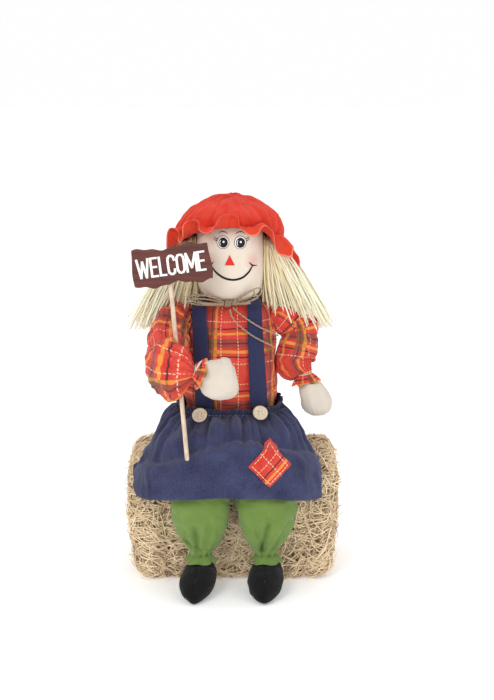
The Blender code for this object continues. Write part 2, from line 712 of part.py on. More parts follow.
def add_leg(side):
    x = LEG_X[side]
    knee = (x, KNEE_Y, KNEE_Z)
    # height, half width, half depth: the top is round about the knee's axis
    levels = (
        (37.4, 9.4, 9.4), (43.4, 9.8, 9.8), (49.0, 15.0, 13.0), (60.0, 24.0, 16.0), (80.0, 32.0, 18.5),
        (105.0, 34.0, KNEE_RADIUS), (125.0, 34.0, KNEE_RADIUS), (135.0, 32.5, 16.1), (140.8, 30.0, 10.5),
        (143.2, 26.0, 5.0),
    )
    rings = [oval((x, KNEE_Y, z), a, b, 18, 2.6 if z > 55 else 2.0) for z, a, b in levels]
    solid(f"trouser_leg_{side}", rings, "green_cloth", knee)
    hoop(f"ankle_tie_{side}", ring_tube(oval((x, KNEE_Y, 41.6), 11.0, 11.0, 12), 0.8, 5), "thread", knee)
    rings = [
        oval((x, KNEE_Y, 40.0), 11.2, 11.2, 14), oval((x, KNEE_Y, 36.6), 17.0, 17.0, 14),
        oval((x, KNEE_Y, 35.6), 16.4, 16.4, 14), oval((x, KNEE_Y, 38.8), 10.2, 10.2, 14),
    ]
    hoop(f"ankle_frill_{side}", rings, "green_cloth", knee)
    ankle = (x, KNEE_Y, ANKLE_Z)
    # Y, half width, lowest Z, highest Z
    stations = (
        (-72.5, 7.0, 3.0, 16.0), (-76.0, 13.0, 0.6, 26.0), (-84.0, 17.0, 0.0, 31.5), (-93.0, 18.0, 0.0, 32.5),
        (-106.0, 18.5, 0.0, 29.0), (-120.0, 17.5, 0.0, 24.0), (-132.0, 12.5, 0.0, 17.0), (-139.0, 5.5, 1.5, 10.0),
    )
    toe_in = 0.06 if side == "left" else -0.04
    rings = []
    for y, half, low, high in stations:
        flat = oval((x + toe_in * (y - KNEE_Y), 0, 0), half, (high - low) / 2, 14, 2.5)
        rings.append([(px, y, (low + high) / 2 + pz) for px, pz, _ in flat])
    solid(f"shoe_{side}", rings, "black_felt", ankle)


# Sign


def add_sign():
    low, high = Vector(STICK_LOW), Vector(STICK_HIGH)
    rise = (high - low).normalized()
    radius = STICK_DIAMETER / 2
    stick = [(low, radius, radius), (high, radius, radius)]
    solid("sign_stick", limb_rings(stick, 12, up=(0, 1, 0)), "pine", STICK_LOW)
    across = Vector((math.cos(BOARD_ROLL), 0, math.sin(BOARD_ROLL)))
    out = across.cross(rise).normalized()
    if out.y > 0:
        out.negate()
    up = out.cross(across).normalized()
    if up.z < 0:
        up.negate()
    width, height, thick = BOARD_SIZE
    centre = low + rise * ((370.5 - low.z) / rise.z) + out * (radius + GAP + thick / 2)
    centre.x = -67.0
    outline = board_outline(width, height)
    rings = []
    for depth in (-thick / 2, thick / 2):
        rings.append([tuple(centre + across * u + up * v + out * depth) for u, v in outline])
    solid("sign_board", rings, "sign_brown", STICK_LOW)
    # a bead of hot glue behind the board, beside the stick
    bead = centre - out * (thick / 2 + GAP + 1.4) + across * 3.0
    stations = [(bead - up * 14, 0.9, 0.9), (bead - up * 12, 1.2, 1.2), (bead + up * 12, 1.2, 1.2),
                (bead + up * 14, 0.9, 0.9)]
    solid("sign_glue_bead", limb_rings(stations, 8, up=(0, 1, 0)), "glue", STICK_LOW)


def board_outline(width, height):
    """A plank's outline: two wavy long edges and two ragged ends."""
    points = []
    steps = 10
    for k in range(steps + 1):
        t = k / steps
        points.append((width * (t - 0.5), -height / 2 + 1.6 + 1.2 * math.sin(9 * t)))
    points.append((width / 2 - 2.0, 0.0))
    for k in range(steps + 1):
        t = 1 - k / steps
        points.append((width * (t - 0.5), height / 2 - 1.6 + 1.2 * math.sin(9 * t + 1)))
    points.append((-width / 2 + 2.0, 0.0))
    return points


clear_scene()
add_bale()
add_torso()
add_seat()
skirt_object = add_skirt()
add_waistband()
add_suspenders()
add_buttons()
add_patch(skirt_object)
add_neck_twine()
add_neck()
add_head()
add_hat()
add_hair()
add_right_arm()
add_left_arm()
for leg_side in LEG_X:
    add_leg(leg_side)
add_sign()
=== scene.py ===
"""The looks of the seated scarecrow doll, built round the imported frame.

Lengths are in millimetres, and meshes are built in metres. X runs to the viewer's right, -Y is
the front and +Z is up, as in the frame. Right and left are the doll's own.
"""

import math

import bmesh
import bpy
import numpy as np
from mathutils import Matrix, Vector


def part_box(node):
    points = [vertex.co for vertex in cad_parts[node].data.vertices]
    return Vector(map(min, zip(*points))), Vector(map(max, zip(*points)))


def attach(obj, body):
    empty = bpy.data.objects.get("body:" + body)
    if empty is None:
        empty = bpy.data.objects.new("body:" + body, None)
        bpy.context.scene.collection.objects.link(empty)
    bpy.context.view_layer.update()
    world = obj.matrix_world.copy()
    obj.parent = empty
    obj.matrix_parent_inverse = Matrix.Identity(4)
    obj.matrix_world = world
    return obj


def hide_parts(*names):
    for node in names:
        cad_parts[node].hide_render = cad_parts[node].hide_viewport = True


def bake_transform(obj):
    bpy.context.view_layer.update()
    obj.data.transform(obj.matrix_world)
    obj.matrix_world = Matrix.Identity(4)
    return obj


MM = 0.001
TAU = 2 * math.pi
BODY_X = -3.0
TORSO_POWER = 2.4

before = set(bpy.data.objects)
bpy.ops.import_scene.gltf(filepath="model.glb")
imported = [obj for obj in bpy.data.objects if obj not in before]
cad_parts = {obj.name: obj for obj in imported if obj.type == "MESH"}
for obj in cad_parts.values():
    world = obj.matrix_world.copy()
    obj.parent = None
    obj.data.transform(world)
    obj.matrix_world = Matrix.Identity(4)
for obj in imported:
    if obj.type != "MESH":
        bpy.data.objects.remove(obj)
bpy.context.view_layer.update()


def box_mm(node):
    low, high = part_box(node)
    return np.array(low) / MM, np.array(high) / MM


# ---------------------------------------------------------------- materials


def srgb(red, green, blue):
    """Linear colour, with alpha, of an 8-bit sRGB one."""
    linear = [c / 12.92 if c <= 0.04045 else ((c + 0.055) / 1.055) ** 2.4 for c in
              (red / 255, green / 255, blue / 255)]
    return (*linear, 1.0)


class Shader:
    """A material's node tree, with short calls that return output sockets."""

    def __init__(self, name, roughness=0.8, **settings):
        self.material = bpy.data.materials.new(name)
        self.material.use_nodes = True
        self.tree = self.material.node_tree
        self.surface = self.tree.nodes["Principled BSDF"]
        self.surface.inputs["Roughness"].default_value = roughness
        for key, value in settings.items():
            self.surface.inputs[key.replace("_", " ")].default_value = value

    def node(self, kind, inputs, **settings):
        made = self.tree.nodes.new(kind)
        for key, value in settings.items():
            setattr(made, key, value)
        for key, value in inputs.items():
            if isinstance(value, bpy.types.NodeSocket):
                self.tree.links.new(value, made.inputs[key])
            else:
                made.inputs[key].default_value = value
        return made

    def math(self, operation, a, b=0.0):
        return self.node("ShaderNodeMath", {0: a, 1: b}, operation=operation).outputs[0]

    def attribute(self, name):
        return self.node("ShaderNodeAttribute", {}, attribute_name=name)

    def position(self):
        """The point in the object's own frame, in metres."""
        return self.node("ShaderNodeTexCoord", {}).outputs["Object"]

    def cloth(self):
        """Cloth coordinates (across, along) in millimetres, as two sockets."""
        split = self.node("ShaderNodeSeparateXYZ", {0: self.attribute("cloth").outputs["Vector"]})
        return split.outputs[0], split.outputs[1]

    def noise(self, vector, scale, detail=3.0, roughness=0.55):
        inputs = {"Vector": vector, "Scale": scale, "Detail": detail, "Roughness": roughness}
        return self.node("ShaderNodeTexNoise", inputs).outputs["Fac"]

    def stretch(self, vector, x, y, z):
        made = self.node("ShaderNodeMapping", {"Vector": vector, "Scale": (x, y, z)})
        return made.outputs[0]

    def ramp(self, factor, stops, interpolation="LINEAR"):
        """stops are (position, colour). Returns the node, for its Color and Alpha."""
        made = self.node("ShaderNodeValToRGB", {0: factor})
        made.color_ramp.interpolation = interpolation
        elements = made.color_ramp.elements
        while len(elements) < len(stops):
            elements.new(1.0)
        for element, (place, colour) in zip(elements, stops):
            element.position = place
            element.color = colour
        return made

    def mix(self, factor, a, b, blend="MIX"):
        made = self.node("ShaderNodeMix", {"Factor": factor}, data_type="RGBA", blend_type=blend)
        for socket, value in ((made.inputs[6], a), (made.inputs[7], b)):
            if isinstance(value, bpy.types.NodeSocket):
                self.tree.links.new(value, socket)
            else:
                socket.default_value = value
        return made.outputs[2]

    def colour(self, socket):
        self.tree.links.new(socket, self.surface.inputs["Base Color"])
        return self

    def bump(self, height, distance, strength=1.0):
        inputs = {"Height": height, "Distance": distance, "Strength": strength}
        made = self.node("ShaderNodeBump", inputs)
        self.tree.links.new(made.outputs[0], self.surface.inputs["Normal"])
        return self


def weave(shader, pitch):
    """The height of a plain weave on the piece's own surface, threads pitch millimetres apart."""
    across, along = shader.cloth()
    turns = TAU / (2 * pitch)
    over = shader.math("SINE", shader.math("MULTIPLY", across, turns))
    under = shader.math("SINE", shader.math("MULTIPLY", along, turns))
    return shader.math("MULTIPLY", over, under)


def woven(name, colour, spread=0.12, pitch=0.45, sheen=0.15, roughness=0.85, grain=0.00012):
    """Plain cloth: slightly uneven dye, a fine weave and a soft sheen."""
    shader = Shader(name, roughness, Sheen_Weight=sheen, Sheen_Roughness=0.5)
    shader.surface.inputs["Specular IOR Level"].default_value = 0.25
    patchy = shader.noise(shader.position(), 45.0)
    slub = shader.noise(shader.stretch(shader.position(), 900.0, 900.0, 260.0), 1.0, 2.0)
    dark = tuple(c * (1 - spread) for c in colour[:3]) + (1.0,)
    light = tuple(min(c * (1 + spread), 1.0) for c in colour[:3]) + (1.0,)
    blend = shader.math("MULTIPLY_ADD", slub, 0.35)
    shader.tree.links.new(shader.math("MULTIPLY", patchy, 0.75), blend.node.inputs[2])
    tone = shader.ramp(blend, [(0.3, dark), (0.75, light)])
    shader.colour(tone.outputs["Color"])
    height = shader.math("ADD", weave(shader, pitch), slub)
    return shader.bump(height, grain, 0.7)


PLAID_ORANGE = srgb(240, 158, 70)
PLAID_BROWN = srgb(146, 74, 68)
PLAID_DARK = srgb(62, 38, 44)
PLAID_CREAM = srgb(250, 215, 175)
PLAID_PERIOD = 70.0
# (start, end, colour, strength) in millimetres from the middle of the brown band
PLAID_ACROSS = (
    (-4.2, -1.0, PLAID_BROWN, 0.8), (-0.9, 0.8, PLAID_DARK, 0.85), (0.9, 3.4, PLAID_BROWN, 0.8),
    (4.2, 7.6, PLAID_ORANGE, 0.9), (47.5, 49.0, PLAID_DARK, 0.85), (52.0, 55.0, PLAID_ORANGE, 0.75),
)
PLAID_ALONG = (
    (-4.4, -1.0, PLAID_BROWN, 0.8), (-0.9, 1.0, PLAID_DARK, 0.8), (1.1, 4.4, PLAID_BROWN, 0.8),
    (8.0, 11.2, PLAID_ORANGE, 0.9), (14.8, 16.2, PLAID_DARK, 0.85),
    (53.8, 55.2, PLAID_DARK, 0.85), (58.8, 62.0, PLAID_ORANGE, 0.9),
)
STITCH_ACROSS, STITCH_ALONG = (12.5, 32.0), (23.2, 46.8)
DASH = 3.6
STITCH_WIDTH = 0.9


def plaid_stripes(shader, coordinate, stripes):
    """Colour and strength of the stripes that cross one coordinate."""
    shift = PLAID_PERIOD / 8
    place = shader.math("FRACT", shader.math("DIVIDE", shader.math("ADD", coordinate, shift), PLAID_PERIOD))
    edge = 0.25
    stops = []
    for start, end, colour, strength in stripes:
        clear, full = (*colour[:3], 0.0), (*colour[:3], strength)
        spots = ((start - edge, clear), (start, full), (end, full), (end + edge, clear))
        stops += [((x + shift) / PLAID_PERIOD, c) for x, c in spots]
    made = shader.ramp(place, stops)
    return made.outputs["Color"], made.outputs["Alpha"]


def stitch_lines(shader, coordinate, other, places):
    """Where a dashed line runs at each place of coordinate, broken along the other one."""
    dashes = shader.math("FRACT", shader.math("DIVIDE", other, DASH))
    shown = shader.math("GREATER_THAN", dashes, 0.38)
    wrapped = shader.math("MULTIPLY", shader.math("FRACT", shader.math("DIVIDE", coordinate, PLAID_PERIOD)),
                          PLAID_PERIOD)
    total = None
    for place in places:
        near = shader.math("ABSOLUTE", shader.math("SUBTRACT", wrapped, place))
        line = shader.math("LESS_THAN", near, STITCH_WIDTH / 2)
        total = line if total is None else shader.math("MAXIMUM", total, line)
    return shader.math("MULTIPLY", total, shown)


def plaid():
    """Printed plaid on brushed cotton, laid out on the cloth coordinates."""
    shader = Shader("plaid_cloth", 0.85, Sheen_Weight=0.15, Sheen_Roughness=0.5)
    shader.surface.inputs["Specular IOR Level"].default_value = 0.25
    across, along = shader.cloth()
    patchy = shader.noise(shader.position(), 60.0)
    red = shader.ramp(patchy, [(0.3, srgb(210, 58, 46)), (0.7, srgb(230, 82, 68))]).outputs["Color"]
    across_colour, across_strength = plaid_stripes(shader, across, PLAID_ACROSS)
    along_colour, along_strength = plaid_stripes(shader, along, PLAID_ALONG)
    colour = shader.mix(along_strength, red, along_colour)
    colour = shader.mix(shader.math("MULTIPLY", across_strength, 0.88), colour, across_colour)
    crossing = shader.math("MULTIPLY", across_strength, along_strength)
    colour = shader.mix(shader.math("MULTIPLY", crossing, 0.55), colour, srgb(96, 112, 52))
    lines = shader.math(
        "MAXIMUM",
        stitch_lines(shader, across, along, STITCH_ACROSS),
        stitch_lines(shader, along, across, STITCH_ALONG),
    )
    colour = shader.mix(shader.math("MULTIPLY", lines, 0.85), colour, PLAID_CREAM)
    shader.colour(colour)
    shader.bump(shader.math("ADD", weave(shader, 0.5), lines), 0.00015, 0.7)
    return shader.material


def denim():
    """Thin navy denim: a slanted twill with pale flecks where the white weft shows."""
    shader = Shader("denim_cloth", 0.88, Sheen_Weight=0.2, Sheen_Roughness=0.5)
    shader.surface.inputs["Specular IOR Level"].default_value = 0.2
    across, along = shader.cloth()
    slant = shader.math("ADD", across, along)
    twill = shader.math("SINE", shader.math("MULTIPLY", slant, TAU / 1.1))
    fleck = shader.noise(shader.stretch(shader.position(), 1500.0, 1500.0, 700.0), 1.0, 4.0, 0.7)
    patchy = shader.noise(shader.position(), 38.0, 4.0)
    blue = shader.ramp(patchy, [(0.3, srgb(40, 43, 76)), (0.72, srgb(64, 69, 106))]).outputs["Color"]
    pale = shader.ramp(fleck, [(0.5, (0, 0, 0, 1)), (0.78, (1, 1, 1, 1))]).outputs["Color"]
    colour = shader.mix(shader.math("MULTIPLY", pale, 0.45), blue, srgb(132, 136, 168))
    shader.colour(colour)
    height = shader.math("ADD", shader.math("MULTIPLY", twill, 0.5), fleck)
    shader.bump(height, 0.00022, 0.8)
    return shader


TOPSTITCH_PLACE, TOPSTITCH_WIDTH = 7.4, 0.84


def denim_stitched():
    """Denim with a row of pale topstitching below the top edge, where along is 0."""
    shader = denim()
    shader.material.name = "denim_gathered"
    across, along = shader.cloth()
    dashes = shader.math("GREATER_THAN", shader.math("FRACT", shader.math("DIVIDE", across, 4.2)), 0.45)
    near = shader.math("ABSOLUTE", shader.math("SUBTRACT", along, TOPSTITCH_PLACE))
    row = shader.math("LESS_THAN", near, TOPSTITCH_WIDTH / 2)
    lines = shader.math("MULTIPLY", row, dashes)
    base = shader.surface.inputs["Base Color"].links[0].from_socket
    shader.colour(shader.mix(shader.math("MULTIPLY", lines, 0.75), base, srgb(190, 192, 205)))
    return shader.material


def tinted(name, dark, light, roughness, grain_scale, bump=0.0002, **settings):
    """Fibres: each strand has its own tint, with a fine grain over it."""
    shader = Shader(name, roughness, **settings)
    shader.surface.inputs["Specular IOR Level"].default_value = 0.35
    tint = shader.attribute("tint").outputs["Fac"]
    grain = shader.noise(shader.position(), grain_scale, 3.0, 0.6)
    mixed = shader.math("ADD", shader.math("MULTIPLY", tint, 0.8), shader.math("MULTIPLY", grain, 0.2))
    shader.colour(shader.ramp(mixed, [(0.05, dark), (0.85, light)]).outputs["Color"])
    shader.bump(grain, bump, 0.5)
    return shader.material


def head_cloth():
    """Muslin with a soft blush on the two cheeks."""
    shader = woven("face_cloth", srgb(236, 224, 207), 0.03, 0.35, 0.1, 0.9, 0.00006)
    base = shader.surface.inputs["Base Color"].links[0].from_socket
    for x in CHEEK_X:
        inputs = {0: shader.position(), 1: (x * MM, -32 * MM, CHEEK_Z * MM)}
        far = shader.node("ShaderNodeVectorMath", inputs, operation="DISTANCE").outputs["Value"]
        blush = shader.ramp(far, [(0.002, (1, 1, 1, 1)), (0.0115, (0, 0, 0, 1))]).outputs["Color"]
        base = shader.mix(shader.math("MULTIPLY", blush, 0.55), base, srgb(232, 162, 152))
    shader.colour(base)
    return shader.material


def edge_highlighted():
    """The hat's red cloth with a thin pale line beside its edge, a painted highlight along the ruffle's rolled
    edge.
    """
    shader = woven("red_cloth_painted_edge_highlight", srgb(226, 66, 38), 0.1, 0.4, 0.12, 0.8, 0.0001)
    base = shader.surface.inputs["Base Color"].links[0].from_socket
    _, along = shader.cloth()
    # painted highlight: a thin pale line along the outer edge of the ruffle, where the rolled edge catches the
    # light
    line = shader.math("LESS_THAN", shader.math("ABSOLUTE", shader.math("SUBTRACT", along, 0.7)), 0.65)
    shader.colour(shader.mix(shader.math("MULTIPLY", line, 0.7), base, srgb(250, 168, 140)))
    return shader.material


def felt():
    shader = Shader("felt", 0.97, Sheen_Weight=0.1, Sheen_Roughness=0.6)
    shader.surface.inputs["Specular IOR Level"].default_value = 0.12
    fuzz = shader.noise(shader.position(), 900.0, 5.0, 0.75)
    patch = shader.noise(shader.position(), 90.0, 3.0)
    mixed = shader.math("ADD", shader.math("MULTIPLY", fuzz, 0.6), shader.math("MULTIPLY", patch, 0.4))
    shader.colour(shader.ramp(mixed, [(0.35, srgb(7, 7, 8)), (0.75, srgb(28, 28, 31))]).outputs["Color"])
    shader.bump(fuzz, 0.0006, 0.8)
    return shader.material


def wood(name, dark, light, along_axis, scale, roughness=0.6):
    """Straight-grained wood. along_axis is the grain's direction as an index."""
    shader = Shader(name, roughness)
    squeeze = [scale] * 3
    squeeze[along_axis] = scale * 0.06
    grain = shader.noise(shader.stretch(shader.position(), *squeeze), 1.0, 5.0, 0.65)
    shader.colour(shader.ramp(grain, [(0.32, dark), (0.68, light)]).outputs["Color"])
    shader.bump(grain, 0.0003, 0.6)
    return shader.material


def plain(name, colour, roughness, spread=0.08, scale=300.0):
    """A smooth material with a faint mottle, for prints, glue and small fittings."""
    shader = Shader(name, roughness)
    mottle = shader.noise(shader.position(), scale, 3.0)
    dark = tuple(c * (1 - spread) for c in colour[:3]) + (1.0,)
    light = tuple(min(c * (1 + spread), 1.0) for c in colour[:3]) + (1.0,)
    shader.colour(shader.ramp(mottle, [(0.35, dark), (0.65, light)]).outputs["Color"])
    return shader.material


# ---------------------------------------------------------------- mesh tools


def grid_faces(rows, columns, wrap_columns=True, wrap_rows=False, caps=False):
    faces = []
    for r in range(rows if wrap_rows else rows - 1):
        a, b = r * columns, ((r + 1) % rows) * columns
        for c in range(columns if wrap_columns else columns - 1):
            d = (c + 1) % columns
            faces.append((a + c, a + d, b + d, b + c))
    if caps:
        faces.append(tuple(range(columns))[::-1])
        faces.append(tuple((rows - 1) * columns + c for c in range(columns)))
    return faces


def lay_cloth(mesh, flat):
    """Writes cloth coordinates per face corner, so that the pattern doesn't fold back at a seam."""
    corner = np.zeros(len(mesh.loops), np.int64)
    mesh.loops.foreach_get("vertex_index", corner)
    start = np.zeros(len(mesh.polygons), np.int64)
    mesh.polygons.foreach_get("loop_start", start)
    size = np.zeros(len(mesh.polygons), np.int64)
    mesh.polygons.foreach_get("loop_total", size)
    values = np.zeros((len(corner), 3), np.float32)
    values[:, :2] = flat[corner]
    across = values[:, 0]
    high = np.repeat(np.maximum.reduceat(across, start), size)
    low = np.repeat(np.minimum.reduceat(across, start), size)
    reach = flat[:, 0].max() - flat[:, 0].min()
    span = reach * (1 + 1 / 90)
    torn = (high - low > reach * 0.5) & (high - across > reach * 0.5)
    values[:, 0] = np.where(torn, across + span, across)
    mesh.attributes.new("cloth", "FLOAT_VECTOR", "CORNER").data.foreach_set("vector", values.ravel())


def piece(name, points, faces, material, body=None, cloth=None, tint=None, stands_for=()):
    """A smooth mesh from points in millimetres, with its cloth coordinates or strand tints."""
    mesh = bpy.data.meshes.new(name)
    mesh.from_pydata((np.asarray(points).reshape(-1, 3) * MM).tolist(), [], faces)
    if tint is not None:
        values = np.asarray(tint, np.float32).ravel()
        mesh.attributes.new("tint", "FLOAT", "POINT").data.foreach_set("value", values)
    tidy = bmesh.new()
    tidy.from_mesh(mesh)
    bmesh.ops.recalc_face_normals(tidy, faces=tidy.faces)
    tidy.to_mesh(mesh)
    tidy.free()
    if cloth is not None:
        lay_cloth(mesh, np.asarray(cloth, float).reshape(-1, 2))
    mesh.shade_smooth()
    mesh.materials.append(material)
    obj = bpy.data.objects.new(name, mesh)
    bpy.context.scene.collection.objects.link(obj)
    if stands_for:
        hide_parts(*stands_for)
    if body:
        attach(obj, body)
    return obj


def subdivide(obj, levels=1):
    made = obj.modifiers.new("smooth", "SUBSURF")
    made.levels = made.render_levels = levels
    return obj


def thicken(obj, thickness, offset=0.0):
    made = obj.modifiers.new("wall", "SOLIDIFY")
    made.thickness = thickness * MM
    made.offset = offset
    return obj


def smooth_noise(points, size, seed, waves=7):
    """Smooth noise of about -1 to 1 over points, with lumps about size millimetres across."""
    rng = np.random.default_rng(seed)
    directions = rng.normal(size=(waves, 3))
    directions /= np.linalg.norm(directions, axis=1)[:, None]
    rates = TAU / size * rng.uniform(0.6, 1.5, waves)
    phases = rng.uniform(0, TAU, waves)
    flat = np.asarray(points, float).reshape(-1, 3)
    total = np.sin(flat @ (directions * rates[:, None]).T + phases).sum(1) / math.sqrt(waves)
    return total.reshape(np.asarray(points).shape[:-1])


def curve_through(points, count):
    """count rows evenly spaced along a Catmull-Rom curve through rows of numbers."""
    rows = np.asarray(points, float)
    ends = np.vstack([2 * rows[0] - rows[1], rows, 2 * rows[-1] - rows[-2]])
    fine = []
    for a, b, c, d in zip(ends, ends[1:], ends[2:], ends[3:]):
        for t in np.linspace(0, 1, 24, endpoint=False):
            fine.append(0.5 * (2 * b + (c - a) * t + (2 * a - 5 * b + 4 * c - d) * t**2
                               + (3 * b - a - 3 * c + d) * t**3))
    fine = np.vstack([fine, rows[-1:]])
    steps = np.linalg.norm(np.diff(fine[:, :3], axis=0), axis=1)
    place = np.concatenate([[0], np.cumsum(steps)])
    wanted = np.linspace(0, place[-1], count)
    return np.stack([np.interp(wanted, place, fine[:, k]) for k in range(rows.shape[1])], axis=1)


def line_frames(line, up):
    """Unit vectors along, across and above a line of points."""
    along = np.gradient(line, axis=0)
    along /= np.linalg.norm(along, axis=1)[:, None]
    across = np.cross(along, np.asarray(up, float))
    across /= np.linalg.norm(across, axis=1)[:, None]
    return along, across, np.cross(across, along)


def pleats(angle, count, seed, sharp=0.65):
    """Gathers round a tied end, from 0 in the creases to 1 on the folds, unevenly spaced."""
    rng = np.random.default_rng(seed)
    bend = angle * count / 2
    for k in (1, 2, 3):
        bend = bend + rng.uniform(0.25, 0.7) / k * np.sin(k * angle + rng.uniform(0, TAU))
    return np.abs(np.sin(bend)) ** sharp


def squared(angle, power):
    """Cosine and sine, pushed out towards a rounded square where power is under 1."""
    c, s = np.cos(angle), np.sin(angle)
    return np.sign(c) * np.abs(c) ** power, np.sign(s) * np.abs(s) ** power


def tube(stations, up, rows=40, columns=56, shape=2.0):
    """Rings round a bent line of (x, y, z, half width, half height), with arrays that help to shape it.

    Returns points (rows, columns, 3), centres, the share of the length and the angle.
    """
    table = curve_through(stations, rows)
    line, half_width, half_height = table[:, :3], table[:, 3], table[:, 4]
    _, across, above = line_frames(line, up)
    angle = np.linspace(0, TAU, columns, endpoint=False)
    c, s = squared(angle, 2 / shape)
    offset = (across[:, None] * (c[None, :, None] * half_width[:, None, None])
              + above[:, None] * (s[None, :, None] * half_height[:, None, None]))
    share = np.linspace(0, 1, rows)
    return line[:, None] + offset, line[:, None], share[:, None], angle[None, :]


def cloth_pairs(across, along):
    """Cloth coordinates of a grid of points, from two arrays that broadcast."""
    return np.stack(np.broadcast_arrays(across, along), axis=2)


def tube_cloth(points, start_across=0.0, start_along=0.0, girth=None):
    """Cloth coordinates of a tube: millimetres round it and along it."""
    columns = points.shape[1]
    steps = np.linalg.norm(np.diff(points.mean(1), axis=0), axis=1)
    along = np.concatenate([[0], np.cumsum(steps)]) + start_along
    if girth is None:
        ring = np.linalg.norm(np.roll(points, -1, 1) - points, axis=2).sum(1)
        girth = float(ring.max())
    # the seam runs where the angle wraps, so the pattern repeats a whole number of times
    across = np.arange(columns) / columns * girth + start_across
    return cloth_pairs(across[None, :], along[:, None]), girth


def close_ends(points, cloth):
    """Adds a small ring at each end of a tube, so that its caps are tiny."""
    first = points[:1].mean(1, keepdims=True) + (points[:1] - points[:1].mean(1, keepdims=True)) * 0.08
    last = points[-1:].mean(1, keepdims=True) + (points[-1:] - points[-1:].mean(1, keepdims=True)) * 0.08
    return np.concatenate([first, points, last]), np.concatenate([cloth[:1], cloth, cloth[-1:]])


def capped(name, points, cloth, material, body, stands_for):
    """A tube's points as a closed piece, with a tiny cap at each end."""
    points, cloth = close_ends(points, cloth)
    faces = grid_faces(*points.shape[:2], caps=True)
    return piece(name, points, faces, material, body, cloth=cloth, stands_for=stands_for)


def as_cloth(obj, held, mass, stiffness, bending, frames):
    """Gives obj a Cloth modifier that keeps the held vertices in place."""
    group = obj.vertex_groups.new(name="held")
    group.add([int(i) for i in np.flatnonzero(held)], 1.0, "REPLACE")
    cloth = obj.modifiers.new("cloth", "CLOTH")
    settings = cloth.settings
    settings.quality = 6
    settings.mass = mass
    settings.tension_stiffness = settings.compression_stiffness = stiffness
    settings.shear_stiffness = stiffness / 2
    settings.bending_stiffness = bending
    settings.vertex_group_mass = group.name
    cloth.point_cache.frame_start, cloth.point_cache.frame_end = 1, frames
    return cloth


def keep_result(obj, cloth, rest, frames, cap):
    """Steps the simulation and keeps where it ends, moving no point over cap mm."""
    scene = bpy.context.scene
    for number in range(1, frames + 1):
        scene.frame_set(number)
    evaluated = obj.evaluated_get(bpy.context.evaluated_depsgraph_get())
    moved = np.array([v.co for v in evaluated.data.vertices])
    obj.modifiers.remove(cloth)
    obj.vertex_groups.remove(obj.vertex_groups["held"])
    scene.frame_set(1)
    shift = moved - rest
    size = np.linalg.norm(shift, axis=1)
    shift *= np.minimum(1.0, cap * MM / np.maximum(size, 1e-9))[:, None]
    obj.data.vertices.foreach_set("co", (rest + shift).astype(np.float32).ravel())
    obj.data.update()


def simulate(obj, pinned, pressure, frames, cap, grow):
    """Blows a closed piece up as cloth. pinned marks the vertices that stay, grow is spare cloth."""
    rest = np.array([v.co for v in obj.data.vertices])
    cloth = as_cloth(obj, pinned, 0.15, 8.0, 0.05, frames)
    settings = cloth.settings
    settings.use_pressure = True
    settings.uniform_pressure_force = pressure
    settings.shrink_min = -grow
    settings.effector_weights.gravity = 0.0
    settings.air_damping = 3.0
    keep_result(obj, cloth, rest, frames, cap)


def strands(name, lines, width, thickness, up, tint, material, body, stands_for=(), taper=0.35):
    """Flat ribbons along lines (count, points, 3), each one a closed body, in a single mesh."""
    lines = np.asarray(lines, float)
    count, steps = lines.shape[:2]
    along = np.gradient(lines, axis=1)
    along /= np.maximum(np.linalg.norm(along, axis=2), 1e-9)[..., None]
    across = np.cross(along, up)
    across /= np.maximum(np.linalg.norm(across, axis=2), 1e-9)[..., None]
    above = np.cross(across, along)
    ends = np.minimum(1.0, taper + (1 - taper) * np.sin(np.linspace(0.12, math.pi - 0.12, steps)) * 2)
    half_w = np.asarray(width)[:, None] / 2 * ends
    half_t = np.asarray(thickness)[:, None] / 2 * ends
    corners = []
    for a, b in ((1, 1), (-1, 1), (-1, -1), (1, -1)):
        corners.append(lines + across * (a * half_w)[..., None] + above * (b * half_t)[..., None])
    points = np.stack(corners, axis=2)
    base = np.arange(count) * steps * 4
    ring = np.arange(steps - 1) * 4
    faces = []
    for k in range(4):
        n = (k + 1) % 4
        a = base[:, None] + ring[None, :] + k
        b = base[:, None] + ring[None, :] + n
        faces.append(np.stack([a, b, b + 4, a + 4], axis=2).reshape(-1, 4))
    last = (steps - 1) * 4
    faces.append(np.stack([base + 3, base + 2, base + 1, base], axis=1))
    faces.append(np.stack([base + last, base + last + 1, base + last + 2, base + last + 3], axis=1))
    faces = np.concatenate(faces)
    tint = np.asarray(tint, float)
    if tint.ndim == 1:
        tint = np.repeat(tint[:, None], steps, 1)
    values = np.repeat(tint[..., None], 4, 2)
    return piece(name, points, faces.tolist(), material, body, tint=values, stands_for=stands_for)


# ---------------------------------------------------------------- materials in use

CHEEK_X, CHEEK_Z = (-28.0, 22.5), 371.0

PLAID = plaid()
DENIM = denim().material
DENIM_GATHERED = denim_stitched()
NAVY = woven("navy_webbing", srgb(44, 48, 84), 0.1, 0.6, 0.15, 0.85, 0.00015).material
GREEN = woven("green_cloth", srgb(110, 138, 64), 0.12, 0.5, 0.25, 0.75, 0.0001).material
RED = woven("red_cloth", srgb(220, 56, 34), 0.1, 0.4, 0.12, 0.8, 0.0001).material
RED_EDGE_HIGHLIGHT = edge_highlighted()
SKIN = woven("muslin", srgb(220, 209, 195), 0.05, 0.35, 0.1, 0.9, 0.00008).material
FACE = head_cloth()
STRAW = tinted("straw", srgb(138, 100, 62), srgb(255, 232, 194), 0.75, 160.0)
